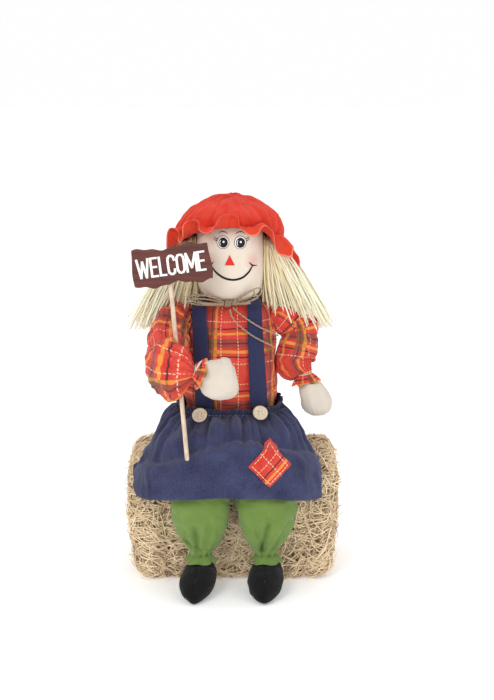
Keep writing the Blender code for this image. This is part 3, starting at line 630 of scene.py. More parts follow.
# darker than the straw: painted shade for the gaps between the strands
STRAW_CORE_SHADE = tinted("straw_core_painted_shade", srgb(94, 64, 40), srgb(186, 152, 112), 0.9, 140.0, 0.002)
RAFFIA = tinted("raffia", srgb(226, 198, 130), srgb(255, 251, 226), 0.6, 260.0)
JUTE = tinted("jute", srgb(126, 104, 78), srgb(196, 178, 152), 0.9, 700.0, 0.0004)
FELT = felt()
PINE = wood("pine", srgb(198, 170, 142), srgb(240, 221, 199), 2, 420.0)
STAINED = wood("stained_wood", srgb(70, 28, 22), srgb(112, 52, 42), 0, 260.0, 0.55)
BLACK_INK = plain("black_print", srgb(12, 11, 11), 0.75)
WHITE_INK = plain("white_print", srgb(250, 250, 248), 0.6, 0.02)
BROWN_INK = plain("grey_brown_print", srgb(88, 78, 74), 0.6)
RED_FELT = plain("red_felt", srgb(228, 48, 38), 0.9, 0.12, 900.0)
HORN = plain("resin_button", srgb(222, 206, 178), 0.4, 0.06, 220.0)
THREAD = plain("cotton_thread", srgb(238, 232, 220), 0.8, 0.06, 900.0)
GREEN_THREAD = plain("green_thread", srgb(86, 112, 50), 0.8, 0.06, 900.0)
# near-black, for the discs that stand for the button holes: painted shade
HOLE_SHADE = plain("painted_hole_shade", srgb(44, 42, 40), 0.8, 0.1, 900.0)
CREAM_THREAD = plain("cream_thread", srgb(250, 222, 180), 0.8, 0.05, 900.0)
WHITE_PAINT = plain("white_paint", srgb(250, 250, 248), 0.6, 0.02)
LINT = tinted("lint", srgb(10, 10, 12), srgb(96, 96, 100), 0.95, 500.0)
GLUE = plain("glue", srgb(214, 204, 176), 0.3, 0.05, 400.0)


# ---------------------------------------------------------------- camera, light and floor

CAMERA_PLACE = (0.0163, -1.7465, 0.6948)
CAMERA_TILT = 76.0
LENS = 79.6


def add_camera():
    camera = bpy.data.objects.new("camera", bpy.data.cameras.new("camera"))
    camera.location = CAMERA_PLACE
    camera.rotation_euler = (math.radians(CAMERA_TILT), 0, 0)
    camera.data.lens = LENS
    camera.data.sensor_width = 36.0
    bpy.context.scene.collection.objects.link(camera)
    bpy.context.scene.camera = camera


def add_light(name, place, size, power):
    lamp = bpy.data.lights.new(name, "AREA")
    lamp.shape = "DISK"
    lamp.size = size
    lamp.energy = power
    obj = bpy.data.objects.new(name, lamp)
    obj.location = place
    aim = Vector((0, 0, 0.2)) - Vector(place)
    obj.rotation_euler = aim.to_track_quat("-Z", "Y").to_euler()
    bpy.context.scene.collection.objects.link(obj)


def add_paper(name, corners, material):
    mesh = bpy.data.meshes.new(name)
    mesh.from_pydata(corners, [], [(0, 1, 2, 3)])
    mesh.materials.append(material)
    obj = bpy.data.objects.new(name, mesh)
    bpy.context.scene.collection.objects.link(obj)
    return obj


def add_studio():
    half, height = 6.0, 5.0
    white = (1.0, 1.0, 1.0, 1.0)
    paper = Shader("paper_floor", 0.95)
    shade = paper.noise(paper.position(), 4.0)
    paper.surface.inputs["Emission Color"].default_value = white
    paper.surface.inputs["Emission Strength"].default_value = 0.24
    paper.colour(paper.ramp(shade, [(0.3, srgb(249, 249, 249)),
                                    (0.7, srgb(253, 253, 253))]).outputs["Color"])
    corners = [(-half, -half, 0), (half, -half, 0), (half, half, 0), (-half, half, 0)]
    floor = add_paper("floor", corners, paper.material)
    floor.location.z = -0.0002
    glow = Shader("paper_backdrop", 0.95)
    glow.surface.inputs["Base Color"].default_value = (0.0, 0.0, 0.0, 1.0)
    glow.surface.inputs["Emission Color"].default_value = white
    glow.surface.inputs["Emission Strength"].default_value = 0.98
    corners = [(-half, half, 0), (half, half, 0), (half, half, height), (-half, half, height)]
    wall = add_paper("backdrop", corners, glow.material)
    world = bpy.data.worlds.new("studio")
    world.use_nodes = True
    sky = world.node_tree.nodes["Background"]
    sky.inputs["Color"].default_value = (1.0, 1.0, 1.0, 1.0)
    sky.inputs["Strength"].default_value = 0.72
    bpy.context.scene.world = world
    bpy.context.scene.view_settings.view_transform = "Standard"
    add_light("key", (-1.1, -1.9, 1.9), 1.2, 20.5)
    add_light("fill", (1.5, -1.6, 1.1), 1.4, 6.2)
    add_light("top", (0.2, 0.5, 2.2), 1.2, 7.8)


# ---------------------------------------------------------------- bow of jute twine

TWINE_DIAMETER = 2.2
BOW_ROUTES = {
    "bow_loop_right": (
        (-10.3, -31.5, 323.2), (-18, -34, 327.5), (-30, -38, 332), (-42, -41, 333.5),
        (-51, -42, 330.5), (-50, -42, 325.5), (-41, -41, 322.5), (-28, -38, 321), (-17, -34.5, 320),
        (-10.3, -32, 319.6),
    ),
    "bow_loop_left": (
        (0.3, -31.5, 323.4), (7, -34, 328), (15, -38, 334), (24, -41, 340), (31, -42, 341.5),
        (33.5, -42, 337.5), (28, -41, 331.5), (19, -38.5, 326), (9, -34.5, 321.5), (0.3, -32, 319.8),
    ),
    "bow_tail_left": (
        (0.4, -32.8, 317.2), (6, -34.5, 312), (14, -36, 306), (23, -37, 300), (33, -36.5, 294),
        (43, -34, 289), (52, -30, 284),
    ),
    "bow_tail_right": (
        (-3, -34, 315.6), (-1, -36, 308), (5, -38, 300), (13, -40, 293), (22, -41, 286.5),
        (31, -40, 281), (40, -37, 276), (46, -34, 272),
    ),
}


def twisted(name, line, closed=False, up=(0.3, 0.2, 1.0), plies=2, body="root", stands_for=()):
    """Twisted plies round a line, each ply a closed tube, in one mesh."""
    line = np.asarray(line, float)
    steps, sides = len(line), 7
    radius = TWINE_DIAMETER / 4
    if closed:
        along = np.roll(line, -1, 0) - np.roll(line, 1, 0)
        along /= np.linalg.norm(along, axis=1)[:, None]
        across = np.cross(along, np.asarray(up, float))
        across /= np.linalg.norm(across, axis=1)[:, None]
        above = np.cross(across, along)
    else:
        along, across, above = line_frames(line, up)
    length = np.linalg.norm(np.diff(line, axis=0), axis=1).sum()
    turns = max(2, round(length / 6.5))
    twist = np.linspace(0, TAU * turns, steps, endpoint=not closed)
    angle = np.linspace(0, TAU, sides, endpoint=False)
    points, faces, tint = [], [], []
    for ply in range(plies):
        around = twist + TAU * ply / plies
        centre = line + (across * np.cos(around)[:, None] + above * np.sin(around)[:, None]) * radius * 0.92
        ring = (across[:, None] * np.cos(angle)[None, :, None]
                + above[:, None] * np.sin(angle)[None, :, None])
        start = len(points) * steps * sides
        points.append(centre[:, None] + ring * radius * 1.08)
        faces += [tuple(start + i for i in f) for f in
                  grid_faces(steps, sides, wrap_rows=closed, caps=not closed)]
        tint.append(np.full((steps, sides), 0.35 + 0.3 * ply))
    return piece(name, np.stack(points), faces, JUTE, body, tint=np.stack(tint),
                 stands_for=stands_for)


def add_bow():
    for name, route in BOW_ROUTES.items():
        line = curve_through(route, 90)
        made = twisted(f"{name}_twine", line, stands_for=(name,))
    for side in ("right", "left"):
        for k, (stretch, flat, forward) in enumerate(((0.86, 0.45, -1.6), (0.74, 0.72, 1.4),
                                                      (0.6, 0.1, -3.4))):
            route = np.array(BOW_ROUTES[f"bow_loop_{side}"], float)
            root = route[0].copy()
            route[:, 0] = root[0] + (route[:, 0] - root[0]) * stretch
            route[:, 2] = 321.4 + (route[:, 2] - 321.4) * flat + 0.10 * np.abs(route[:, 0] - root[0])
            route[:, 1] += forward * np.clip(np.abs(route[:, 0] - root[0]) / 8, 0, 1)
            line = curve_through(route, 80)
            made = twisted(f"bow_loop_{side}_{k + 2}", line)
    low, high = box_mm("neck_twine")
    middle = (low + high) / 2
    half = (high - low) / 2 - TWINE_DIAMETER / 2
    angle = np.linspace(0, TAU, 120, endpoint=False)
    for k, (grow, lift) in enumerate(((0.0, 0.0), (0.6, -2.0), (0.4, 1.8))):
        ring = np.stack([middle[0] + np.cos(angle) * (half[0] + grow),
                         middle[1] + np.sin(angle) * (half[1] + grow),
                         np.full(120, middle[2] + lift)], axis=1)
        twisted(f"neck_turn_{k + 1}", ring, closed=True, up=(0, 0, 1),
                stands_for=("neck_twine",) if k == 0 else ())
    low, high = box_mm("bow_knot")
    centre, half = (low + high) / 2, (high - low) / 2
    angle = np.linspace(0, TAU, 60, endpoint=False)
    for k, shift in enumerate((-2.3, 0.0, 2.3)):
        wrap = np.stack([centre[0] + shift + 0.8 * np.sin(angle),
                         centre[1] + np.cos(angle) * (half[1] - 0.8),
                         centre[2] + np.sin(angle) * (half[2] - 0.8)], axis=1)
        twisted(f"knot_turn_{k + 1}", wrap, closed=True, up=(1, 0, 0),
                stands_for=("bow_knot",) if k == 1 else ())


# ---------------------------------------------------------------- bale

BALE_ROUND = 17.0
TIE_GROOVE = 3.2


def on_bale(points, low, high, out=0.0):
    """Points moved on to the rounded block between low and high, standing out by out millimetres."""
    core_low, core_high = low + BALE_ROUND, high - BALE_ROUND
    core = np.clip(points, core_low, core_high)
    away = points - core
    size = np.linalg.norm(away, axis=-1, keepdims=True)
    # a point inside the core goes out through its nearest side
    flat = size[..., 0] < 1e-6
    if flat.any():
        inner = points[flat]
        gaps = np.concatenate([inner - core_low, core_high - inner], axis=-1)
        side = gaps.argmin(-1)
        push = np.zeros_like(inner)
        push[np.arange(len(inner)), side % 3] = np.where(side < 3, -1.0, 1.0)
        away[flat] = push
        size[flat] = 1.0
        clipped = inner.copy()
        axis = side % 3
        clipped[np.arange(len(inner)), axis] = np.where(side < 3, core_low[axis], core_high[axis])
        core[flat] = clipped
    normal = away / size
    pinch = 0.0
    for tie_low, tie_high in (box_mm("bale_tie_right"), box_mm("bale_tie_left")):
        x = (tie_low[0] + tie_high[0]) / 2
        pinch = pinch + TIE_GROOVE * np.exp(-(((points[..., 0] - x) / 5.0) ** 2))
    reach = BALE_ROUND - pinch + out
    return core + normal * np.asarray(reach)[..., None], normal


def narrow_foot(points, low, high):
    """The block draws in a little towards the floor."""
    foot = np.clip(1 - points[..., 2:] / 80.0, 0.0, 1.0) ** 1.6
    middle = (low + high) / 2
    return points - foot * (points - middle) * (0.07, 0.05, 0.0)


def add_bale():
    low, high = box_mm("straw_bale")
    rng = np.random.default_rng(11)
    # the core: a lumpy block seen between the strands, darker than the straw as painted shade in the gaps
    rows, columns = 60, 84
    x = np.linspace(low[0], high[0], rows)
    angle = np.linspace(0, TAU, columns, endpoint=False)
    middle = (low + high) / 2
    reach = (high - low) / 2
    ring = np.stack([np.cos(angle) * 200, np.sin(angle) * 200], axis=1)
    scale = np.minimum(reach[1] / np.maximum(np.abs(ring[:, 0]), 1e-6),
                       reach[2] / np.maximum(np.abs(ring[:, 1]), 1e-6))
    ring = ring * scale[:, None]
    shell = np.zeros((rows, columns, 3))
    shell[..., 0] = x[:, None]
    shell[..., 1] = middle[1] + ring[None, :, 0]
    shell[..., 2] = middle[2] + ring[None, :, 1]
    surface, normal = on_bale(shell, low, high)
    surface = surface + normal * (smooth_noise(surface, 22, 5) * 1.2 + smooth_noise(surface, 8,
                                                                                    6) * 0.8 - 2.2)[..., None]
    surface = narrow_foot(surface, low, high)
    surface[..., 2] = np.maximum(surface[..., 2], 0.4)
    tint = 0.5 + 0.4 * smooth_noise(surface, 6, 7)
    piece("bale_core", surface, grid_faces(rows, columns, caps=True), STRAW_CORE_SHADE, "root",
          tint=tint, stands_for=("straw_bale",))
    # strands of wood wool, lying on the core and crossing each other
    count, steps = 6800, 8
    side = rng.choice(5, count, p=(0.34, 0.2, 0.2, 0.13, 0.13))
    start = low + rng.uniform(0, 1, (count, 3)) * (high - low)
    start[side == 0, 1] = low[1]
    start[side == 1, 1] = high[1]
    start[side == 2, 2] = high[2]
    start[side == 3, 0] = low[0]
    start[side == 4, 0] = high[0]
    _, normal = on_bale(start, low, high)
    heading = np.cross(normal, rng.normal(size=(count, 3)) * (0.4, 1.0, 1.0))
    heading /= np.linalg.norm(heading, axis=1)[:, None]
    length = rng.uniform(16, 50, count)
    curl = rng.normal(0, 0.12, count)
    lift = rng.uniform(-1.2, 2.2, count)
    wild = rng.uniform(0, 1, count) < 0.09
    lines = np.zeros((count, steps, 3))
    at = start.copy()
    for k in range(steps):
        share = k / (steps - 1)
        bow = 2.2 * math.sin(math.pi * share)
        flick = np.where(wild, rng.uniform(4, 9, count) * share**2.2, 0.0)
        at, normal = on_bale(at, low, high)
        lines[:, k] = at + normal * (lift + bow * rng.uniform(0.6, 1.4, count) + flick)[:, None]
        turn = curl + rng.normal(0, 0.1, count)
        sideways = np.cross(normal, heading)
        heading = heading * np.cos(turn)[:, None] + sideways * np.sin(turn)[:, None]
        heading -= normal * (heading * normal).sum(1)[:, None]
        heading /= np.linalg.norm(heading, axis=1)[:, None]
        at = at + heading * (length / steps)[:, None]
    lines = narrow_foot(lines, low, high)
    lines[..., 2] = np.maximum(lines[..., 2], 0.7)
    up = np.repeat(on_bale(lines[:, steps // 2], low, high)[1][:, None], steps, 1)
    # strands that stand higher off the core are tinted lighter and lower ones darker: painted light and shade,
    # over a random tone
    tint = np.clip(rng.normal(0.58, 0.25, count) + 0.14 * lift, 0, 1)
    width, thick = rng.uniform(0.7, 1.4, count), rng.uniform(0.3, 0.5, count)
    for k in range(4):
        part = slice(k * count // 4, (k + 1) * count // 4)
        strands(f"bale_straw_{k + 1}", lines[part], width[part], thick[part], up[part], tint[part], STRAW,
                "root")
    for side_name in ("right", "left"):
        tie_low, tie_high = box_mm(f"bale_tie_{side_name}")
        turn = np.linspace(0, TAU, 160, endpoint=False)
        loop = np.zeros((160, 3))
        loop[:, 0] = (tie_low[0] + tie_high[0]) / 2
        grip = np.minimum(reach[1] / np.abs(np.cos(turn) * 300 + 1e-9),
                          reach[2] / np.abs(np.sin(turn) * 300 + 1e-9))
        loop[:, 1] = middle[1] + np.cos(turn) * 300 * grip
        loop[:, 2] = middle[2] + np.sin(turn) * 300 * grip
        loop = narrow_foot(on_bale(loop, low, high, out=1.2)[0], low, high)
        loop[:, 2] = np.maximum(loop[:, 2], 1.3)
        twisted(f"bale_string_{side_name}", loop, closed=True, up=(1, 0, 0),
                stands_for=(f"bale_tie_{side_name}",))


# ---------------------------------------------------------------- shirt and seat

# height: (half width, half depth, middle Y)
TORSO = (
    (184.0, 50.0, 38.0, -6.0), (200.0, 50.5, 40.0, -6.0), (225.0, 53.0, 41.0, -6.0),
    (250.0, 53.0, 39.0, -5.5),
    (275.0, 52.0, 36.0, -4.0), (294.0, 51.0, 31.5, -3.0), (305.0, 50.0, 28.0, -2.0),
    (312.0, 47.0, 24.5, -1.0),
    (317.0, 40.0, 21.0, 0.0), (319.3, 29.0, 18.0, 0.0), (319.6, 18.0, 17.0, 0.0),
)


def level_rings(table, rows, columns, power, middle_x=BODY_X):
    """Level rings up a body. Column 0 is at the back, so that a pattern's seam is out of sight."""
    table = curve_through([(z, a, b, y) for z, a, b, y in table], rows)
    angle = np.linspace(0, TAU, columns, endpoint=False) + math.pi / 2
    c, s = squared(angle, 2 / power)
    points = np.zeros((rows, columns, 3))
    points[..., 0] = middle_x + table[:, 1:2] * c
    points[..., 1] = table[:, 3:4] + table[:, 2:3] * s
    points[..., 2] = table[:, :1]
    return points, angle


def torso_y(x, z, sign):
    heights = [row[0] for row in TORSO]
    half_x, half_y, middle = (np.interp(z, heights, [row[k] for row in TORSO]) for k in (1, 2, 3))
    share = np.minimum(np.abs((x - BODY_X) / half_x), 0.999)
    return middle + sign * half_y * (1 - share**TORSO_POWER) ** (1 / TORSO_POWER)


def add_torso():
    points, angle = level_rings(TORSO, 84, 150, TORSO_POWER)
    across = np.cumsum(np.linalg.norm(np.roll(points[40], -1, 0) - points[40], axis=1))
    across = across - across[75] + 24.0
    z = points[..., 2]
    # drag lines from the shoulders, slack over the waistband and small creases all over
    out = points - points.mean(1, keepdims=True)
    out[..., 2] = 0
    out /= np.linalg.norm(out, axis=2, keepdims=True)
    slack = np.exp(-(((z - 214) / 13) ** 2))
    crease = smooth_noise(points * (1.0, 1.0, 0.55), 26, 21) + 0.6 * smooth_noise(points * (1.3, 1, 0.5),
                                                                                  13, 22)
    lengthwise = np.sin(angle * 23 + 1.5 * np.sin(angle * 4))[None] * np.exp(-(((z - 200) / 12) ** 2))
    push = 1.1 * crease + 2.2 * slack + 1.0 * lengthwise
    push *= np.clip((316 - z) / 12, 0.0, 1.0)
    points += out * push[..., None]
    cloth = cloth_pairs(across[None], 277.0 - z)
    obj = capped("shirt", points, cloth, PLAID, "root", ("shirt_body", "body_stuffing"))


def add_seat():
    stations = ((44, 32, 7, 147), (34, 48, 12, 150), (10, 60, 16, 155), (-20, 65, 17, 156),
                (-55, 66, 15, 154),
                (-74, 64, 10, 153), (-88, 58, 5, 152))
    table = curve_through([(y, a, b, z) for y, a, b, z in stations], 40)
    angle = np.linspace(0, TAU, 60, endpoint=False)
    c, s = squared(angle, 0.6)
    points = np.zeros((40, 60, 3))
    points[..., 0] = table[:, 1:2] * c
    points[..., 1] = table[:, :1]
    points[..., 2] = table[:, 3:4] + table[:, 2:3] * s
    points[..., 2] += 0.8 * smooth_noise(points, 18, 31) * (s > 0)
    cloth, _ = tube_cloth(points)
    obj = capped("trousers_seat_cloth", points, cloth, GREEN, "root", ("trousers_seat",))


# ---------------------------------------------------------------- skirt

SKIRT_X = -4.0
WAIST = (60.0, 49.0, -6.0)  # half width, half depth, middle Y
# angle from the front; fold over the knees or the bale's edge; hem. Each as (distance, Y, Z).
SKIRT_COLUMNS = (
    (0, (0, -107, 160), (0, -117, 118)), (18, (31, -108, 161), (31, -118, 117)),
    (36, (60, -106, 157), (62, -117, 116)), (52, (85, -96, 151), (92, -106, 112)),
    (60, (97, -86, 149), (103, -98, 111.5)), (67, (103, -76, 146.5), (109, -86, 112)),
    (73, (103, -70, 145.5), (109, -74, 125)),
    (80, (98, -60, 144.5), (104, -60, 140.5)), (92, (91, -33, 144.5), (98, -31, 140.5)),
    (108, (85, -4, 144.5), (92, 1, 140.5)), (124, (75, 28, 144.5), (82, 33, 140.5)),
    (142, (55, 46, 144.5), (60, 51, 140.5)), (161, (28, 55, 144.5), (31, 61, 140.5)),
    (180, (0, 58, 144.5), (0, 63, 140.5)),
)
SKIRT_TOP = 194.0
BUTTON_PLACES = {"right": (-35.5, 192.5), "left": (29.5, 193.5)}


def waist_ring(angle, grow, z):
    """Points of the waist. angle is in radians from the front, turning to +X."""
    c, s = squared(angle, 2 / TORSO_POWER)
    x = SKIRT_X + s * (WAIST[0] + grow)
    y = WAIST[2] - c * (WAIST[1] + grow)
    return np.stack([x, y, np.broadcast_to(z, x.shape)], axis=-1)


def add_skirt():
    columns, rows = 300, 46
    angle = np.linspace(0, TAU, columns, endpoint=False) + math.pi
    turned = (angle + math.pi) % TAU - math.pi
    side = np.where(turned < 0, -1.0, 1.0)
    degrees = np.degrees(np.abs(turned))
    knots = [c[0] for c in SKIRT_COLUMNS]
    fold = np.stack([np.interp(degrees, knots, [c[1][k] for c in SKIRT_COLUMNS]) for k in range(3)], axis=1)
    hem = np.stack([np.interp(degrees, knots, [c[2][k] for c in SKIRT_COLUMNS]) for k in range(3)], axis=1)
    fold[:, 0] = SKIRT_X + side * fold[:, 0]
    hem[:, 0] = SKIRT_X + side * hem[:, 0]
    top = waist_ring(turned, 0.0, SKIRT_TOP)
    out = fold - top
    out[:, 2] = 0
    out /= np.linalg.norm(out, axis=1)[:, None]
    front = 0.55 + 0.45 * np.cos(turned)
    # the straps and their buttons press the cloth flat
    pressed = sum(np.exp(-(((top[:, 0] - x) / 10.0) ** 2)) for x, _ in BUTTON_PLACES.values())
    pressed = 0.95 * np.clip(pressed, 0, 1) * (np.abs(turned) < 1.6)
    share = np.linspace(0, 1, rows)
    split = 0.66
    points = np.zeros((rows, columns, 3))
    for r, t in enumerate(share):
        if t < split:
            u = t / split
            bulge = 11.0 * front * 4 * u * (1 - u) * (1 - pressed * np.clip(1.5 - 1.7 * u, 0, 1))
            points[r] = top + (fold - top) * u + out * (bulge * 0.5)[:, None]
            points[r, :, 2] += bulge * 0.8
        else:
            u = (t - split) / (1 - split)
            points[r] = fold + (hem - fold) * u
            points[r] += out * (2.5 * math.sin(math.pi * u))
    # the cloth sinks behind the knees, lower towards the doll's right
    valley = 0.37 + 0.20 * np.clip(np.abs(top[:, 0] * 1.6 - 22) / 95, 0, 1) ** 1.6
    for r, t in enumerate(share):
        dip = np.exp(-(((t - valley) / 0.085) ** 2)) * (np.abs(turned) < 1.25)
        points[r, :, 2] -= 8.5 * dip
        points[r] -= out * (3.0 * dip)[:, None]
    # round the bend over the knees
    for _ in range(4):
        points[1:-1] = (points[:-2] + 2 * points[1:-1] + points[2:]) / 4
    for _ in range(10):
        points = (np.roll(points, 1, 1) + 2 * points + np.roll(points, -1, 1)) / 4
    down = np.linalg.norm(np.diff(points, axis=0), axis=2)
    down = np.concatenate([np.zeros((1, columns)), np.cumsum(down, axis=0)])
    along_u, along_v = np.gradient(points, axis=1), np.gradient(points, axis=0)
    normal = np.cross(along_u, along_v)
    normal /= np.linalg.norm(normal, axis=2, keepdims=True)
    middle = points.mean((0, 1))
    normal *= np.sign(((points - middle) * normal).sum(2, keepdims=True).mean())
    gathers = pleats(turned, 62, 41, 0.8)[None]
    wide = pleats(turned + 0.3, 26, 42, 0.8)[None] * 0.62 + pleats(turned, 43, 45, 0.7)[None] * 0.38
    wide = 0.55 + (wide - 0.55) * (1.0 + 0.5 * smooth_noise(np.stack([top, top], 0), 40, 46)[:1])
    fine = np.exp(-down / 11.0)
    below = np.clip((share[:, None] - valley[None] - 0.10) / 0.08, 0, 1)
    broad = np.exp(-(((down - 22) / 24) ** 2)) * (1 - below) * np.clip(down / 5, 0, 1)
    hem_wave = np.clip((share[:, None] - 0.6) / 0.4, 0, 1) ** 1.5
    push = 4.2 * (gathers - 0.5) * fine + 11.0 * (wide - 0.55) * broad
    push *= 1 - pressed[None] * np.exp(-((down / 28) ** 2))
    push += 1.3 * smooth_noise(points, 34, 43) + 0.45 * smooth_noise(points, 12, 44)
    ripple = np.sin(turned * 9 + 0.9 * np.sin(turned * 4))[None]
    push += 2.0 * ripple * hem_wave * (np.abs(turned) < 1.45)[None]
    # four long folds that run out from the waist across the lap
    for x, y, width, length, deep in ((-72.0, -72.0, 7.0, 30.0, 3.4), (36.0, -66.0, 6.0, 22.0, 3.0),
                                      (-30.0, -70.0, 6.0, 20.0, 2.2), (14.0, -66.0, 5.0, 18.0, 2.0)):
        lean = (x - SKIRT_X) / 80.0
        across = (points[..., 0] - x) - lean * (-(points[..., 1] - y)) * 0.9
        push -= deep * np.exp(-((across / width) ** 2)) * np.exp(-(((points[..., 1] - y) / length) ** 2)) \
            * (points[..., 2] > 150)
    points = points + normal * push[..., None]
    # the part on the bale lies flat on its straw
    on_bale_now = (points[..., 1] > -66) & (np.abs(points[..., 0]) < 116)
    points[..., 2] = np.where(on_bale_now, np.maximum(points[..., 2], 141.2), points[..., 2])
    round_it = np.linalg.norm(np.roll(points, -1, 1) - points, axis=2).sum(1).max()
    cloth = cloth_pairs((np.arange(columns) / columns * round_it)[None], down)
    obj = piece("skirt_cloth", points, grid_faces(rows, columns), DENIM, "root", cloth=cloth,
                stands_for=("skirt",))
    drape(obj, rows, columns)
    thicken(obj, 1.1)
    return obj


def drape(obj, rows, columns):
    """A short fall of the skirt as cloth: only the free front below the lap moves."""
    frames, cap = 14, 3.0
    rest = np.array([v.co for v in obj.data.vertices])
    share = np.repeat(np.linspace(0, 1, rows), columns)
    free = (share > 0.7) & (rest[:, 1] < -0.070)
    cloth = as_cloth(obj, ~free, 0.12, 12.0, 0.08, frames)
    keep_result(obj, cloth, rest, frames, cap)


def add_waistband():
    columns, rows = 360, 18
    turned = np.linspace(-math.pi, math.pi, columns, endpoint=False)
    z = np.linspace(SKIRT_TOP - 2, 203.0, rows)
    flare = np.interp(z, (192, 195.5, 203), (0.4, -1.2, 1.0))
    ruffle = np.interp(z, (192, 195.5, 203), (2.0, 1.1, 2.6))
    gathers = pleats(turned, 62, 41, 0.8) - 0.5
    points = np.zeros((rows, columns, 3))
    for r in range(rows):
        points[r] = waist_ring(turned, flare[r] + ruffle[r] * gathers, z[r])
        points[r, :, 2] += (0.9 * np.sin(turned * 17) + 0.6 * np.sin(turned * 31)) * max(0.0,
                                                                                         (z[r] - 197) / 6)
    down = np.broadcast_to((z[-1] - z)[:, None], (rows, columns))
    round_it = 400.0
    cloth = cloth_pairs((np.arange(columns) / columns * round_it)[None], down)
    obj = piece("gathered_waistband", points, grid_faces(rows, columns), DENIM_GATHERED, "root",
                cloth=cloth, stands_for=("waistband", "waist_elastic"))
    thicken(obj, 1.0)
    return obj


def strap_line(low_x, high_x):
    low_z = np.linspace(199, 303, 22)
    rise = (low_z - low_z[0]) / (low_z[-1] - low_z[0])
    x = low_x + (high_x - low_x) * rise
    width = 21.0 - 4.0 * rise
    rows = []
    shares = np.linspace(-0.5, 0.5, 9)
    for xx, zz, w in zip(x, low_z, width):
        px = xx + w * shares
        rows.append(np.stack([px, torso_y(px, zz, -1) - 3.6, np.full(9, zz)], axis=1))
    for turn in np.linspace(0.12, 0.88, 11):
        px = high_x + 17.0 * shares
        front, back = torso_y(px, 303, -1) - 3.6, torso_y(px, 303, 1) + 3.6
        y = front + (back - front) * (0.5 - 0.5 * math.cos(math.pi * turn))
        # the slope of the shoulder: lower towards the arm
        lift = 327.0 - 0.0045 * (px - BODY_X) ** 2
        z = 303 + (lift - 303) * math.sin(math.pi * turn) ** 0.7
        rows.append(np.stack([px, y, z], axis=1))
    for xx, zz, w in list(zip(x, low_z, width))[::-1]:
        px = xx + w * shares
        rows.append(np.stack([px, torso_y(px, zz, 1) + 3.6, np.full(9, zz)], axis=1))
    return np.stack(rows)


def add_straps():
    for side, (low_x, high_x) in {"right": (-32.5, -38.0), "left": (30.5, 25.0)}.items():
        points = strap_line(low_x, high_x)
        points[:, 1:-1, 1] += 0.35 * smooth_noise(points[:, 1:-1], 14, 61)
        points[:, 4, 1] += np.where(points[:, 4, 1] < 0, -0.5, 0.5)
        steps = np.linalg.norm(np.diff(points.mean(1), axis=0), axis=1)
        along = np.concatenate([[0], np.cumsum(steps)])
        across = np.linspace(-9, 9, 9)
        cloth = cloth_pairs(across[None], along[:, None])
        obj = piece(f"strap_{side}", points, grid_faces(len(points), 9, wrap_columns=False), NAVY,
                    "root", cloth=cloth, stands_for=(f"suspender_{side}",))
        thicken(obj, 1.8)
        subdivide(obj)


def lathe(profile, centre, out, across, columns=36):
    """Rings of (radius, depth) about an axis through centre along out."""
    up = np.cross(out, across)
    angle = np.linspace(0, TAU, columns, endpoint=False)
    ring = across[None] * np.cos(angle)[:, None] + up[None] * np.sin(angle)[:, None]
    return np.stack([centre + out * d + ring * r for r, d in profile])


def cast_back(surface, x, z):
    """What a ray from in front of the doll meets first at (x, z)."""
    return surface.ray_cast(Vector((x, -300, z)) * MM, Vector((0, 1, 0)))


def add_buttons(skirt, band):
    graph = bpy.context.evaluated_depsgraph_get()
    cloths = [skirt.evaluated_get(graph), band.evaluated_get(graph)]

    def front(x, z):
        """Y of the frontmost cloth at (x, z)."""
        hits = [cast_back(c, x, z) for c in cloths]
        return min(place.y / MM for found, place, _, _ in hits if found)

    for side, (x, z) in BUTTON_PLACES.items():
        slope_x = np.clip((front(x + 7, z) - front(x - 7, z)) / 14, -0.2, 0.2)
        slope_z = np.clip((front(x, z + 7) - front(x, z - 7)) / 14, 0.2, 0.75)
        out = np.array([slope_x, -1.0, slope_z])
        out /= np.linalg.norm(out)
        across = np.cross((0.0, 0.0, 1.0), out)
        across /= np.linalg.norm(across)
        up = np.cross(out, across)
        centre = np.array([x, front(x, z), z])
        high = 0.0
        for turn in np.linspace(0, TAU, 16, endpoint=False):
            rim = centre + (across * math.cos(turn) + up * math.sin(turn)) * 8.0
            high = max(high, float((np.array([rim[0], front(rim[0], rim[2]), rim[2]]) - rim) @ out))
        face = centre + out * (min(high, 10.0) + 0.8)
        profile = ((0.05, -0.6), (7.4, -0.6), (8.6, 0.2), (8.8, 1.2), (8.2, 2.4), (7.2, 2.7), (6.3, 2.2),
                   (5.6, 1.3), (4.6, 1.1), (0.05, 1.1))
        made = piece(f"button_disc_{side}", lathe(profile, face, out, across),
                     grid_faces(10, 36, caps=True), HORN, "root", stands_for=(f"button_{side}",))
        subdivide(made)
        # dark discs on the button's face in place of its four holes: painted shade inside the holes
        rings, faces = [], []
        for k, (u, v) in enumerate(((-1.7, 1.7), (1.7, 1.7), (-1.7, -1.7), (1.7, -1.7))):
            hole = lathe(((0.05, 1.16), (0.75, 1.16), (0.8, 0.9)), face + across * u + up * v, out, across,
                         14)
            faces += [tuple(i + k * 42 for i in f) for f in grid_faces(3, 14, caps=True)]
            rings.append(hole)
        piece(f"button_hole_shade_{side}", np.stack(rings), faces, HOLE_SHADE, "root")
        lines = []
        for v in (1.7, -1.7):
            t = np.linspace(-1, 1, 8)
            for shift in (-0.35, 0.35):
                line = (face + across * (t * 1.7)[:, None] + up * (v + shift)
                        + out * (1.2 + 0.8 * (1 - t**2))[:, None])
                lines.append(line)
        lines = np.stack(lines)
        ups = np.broadcast_to(out, lines.shape)
        strands(f"button_stitch_{side}", lines, np.full(4, 0.6), np.full(4, 0.5), ups, np.full(4, 0.5),
                THREAD,
                "root", stands_for=(f"button_thread_{side}",), taper=0.9)


PATCH_X, PATCH_Z, PATCH_SIDE = 41.5, 153.5, 33.5


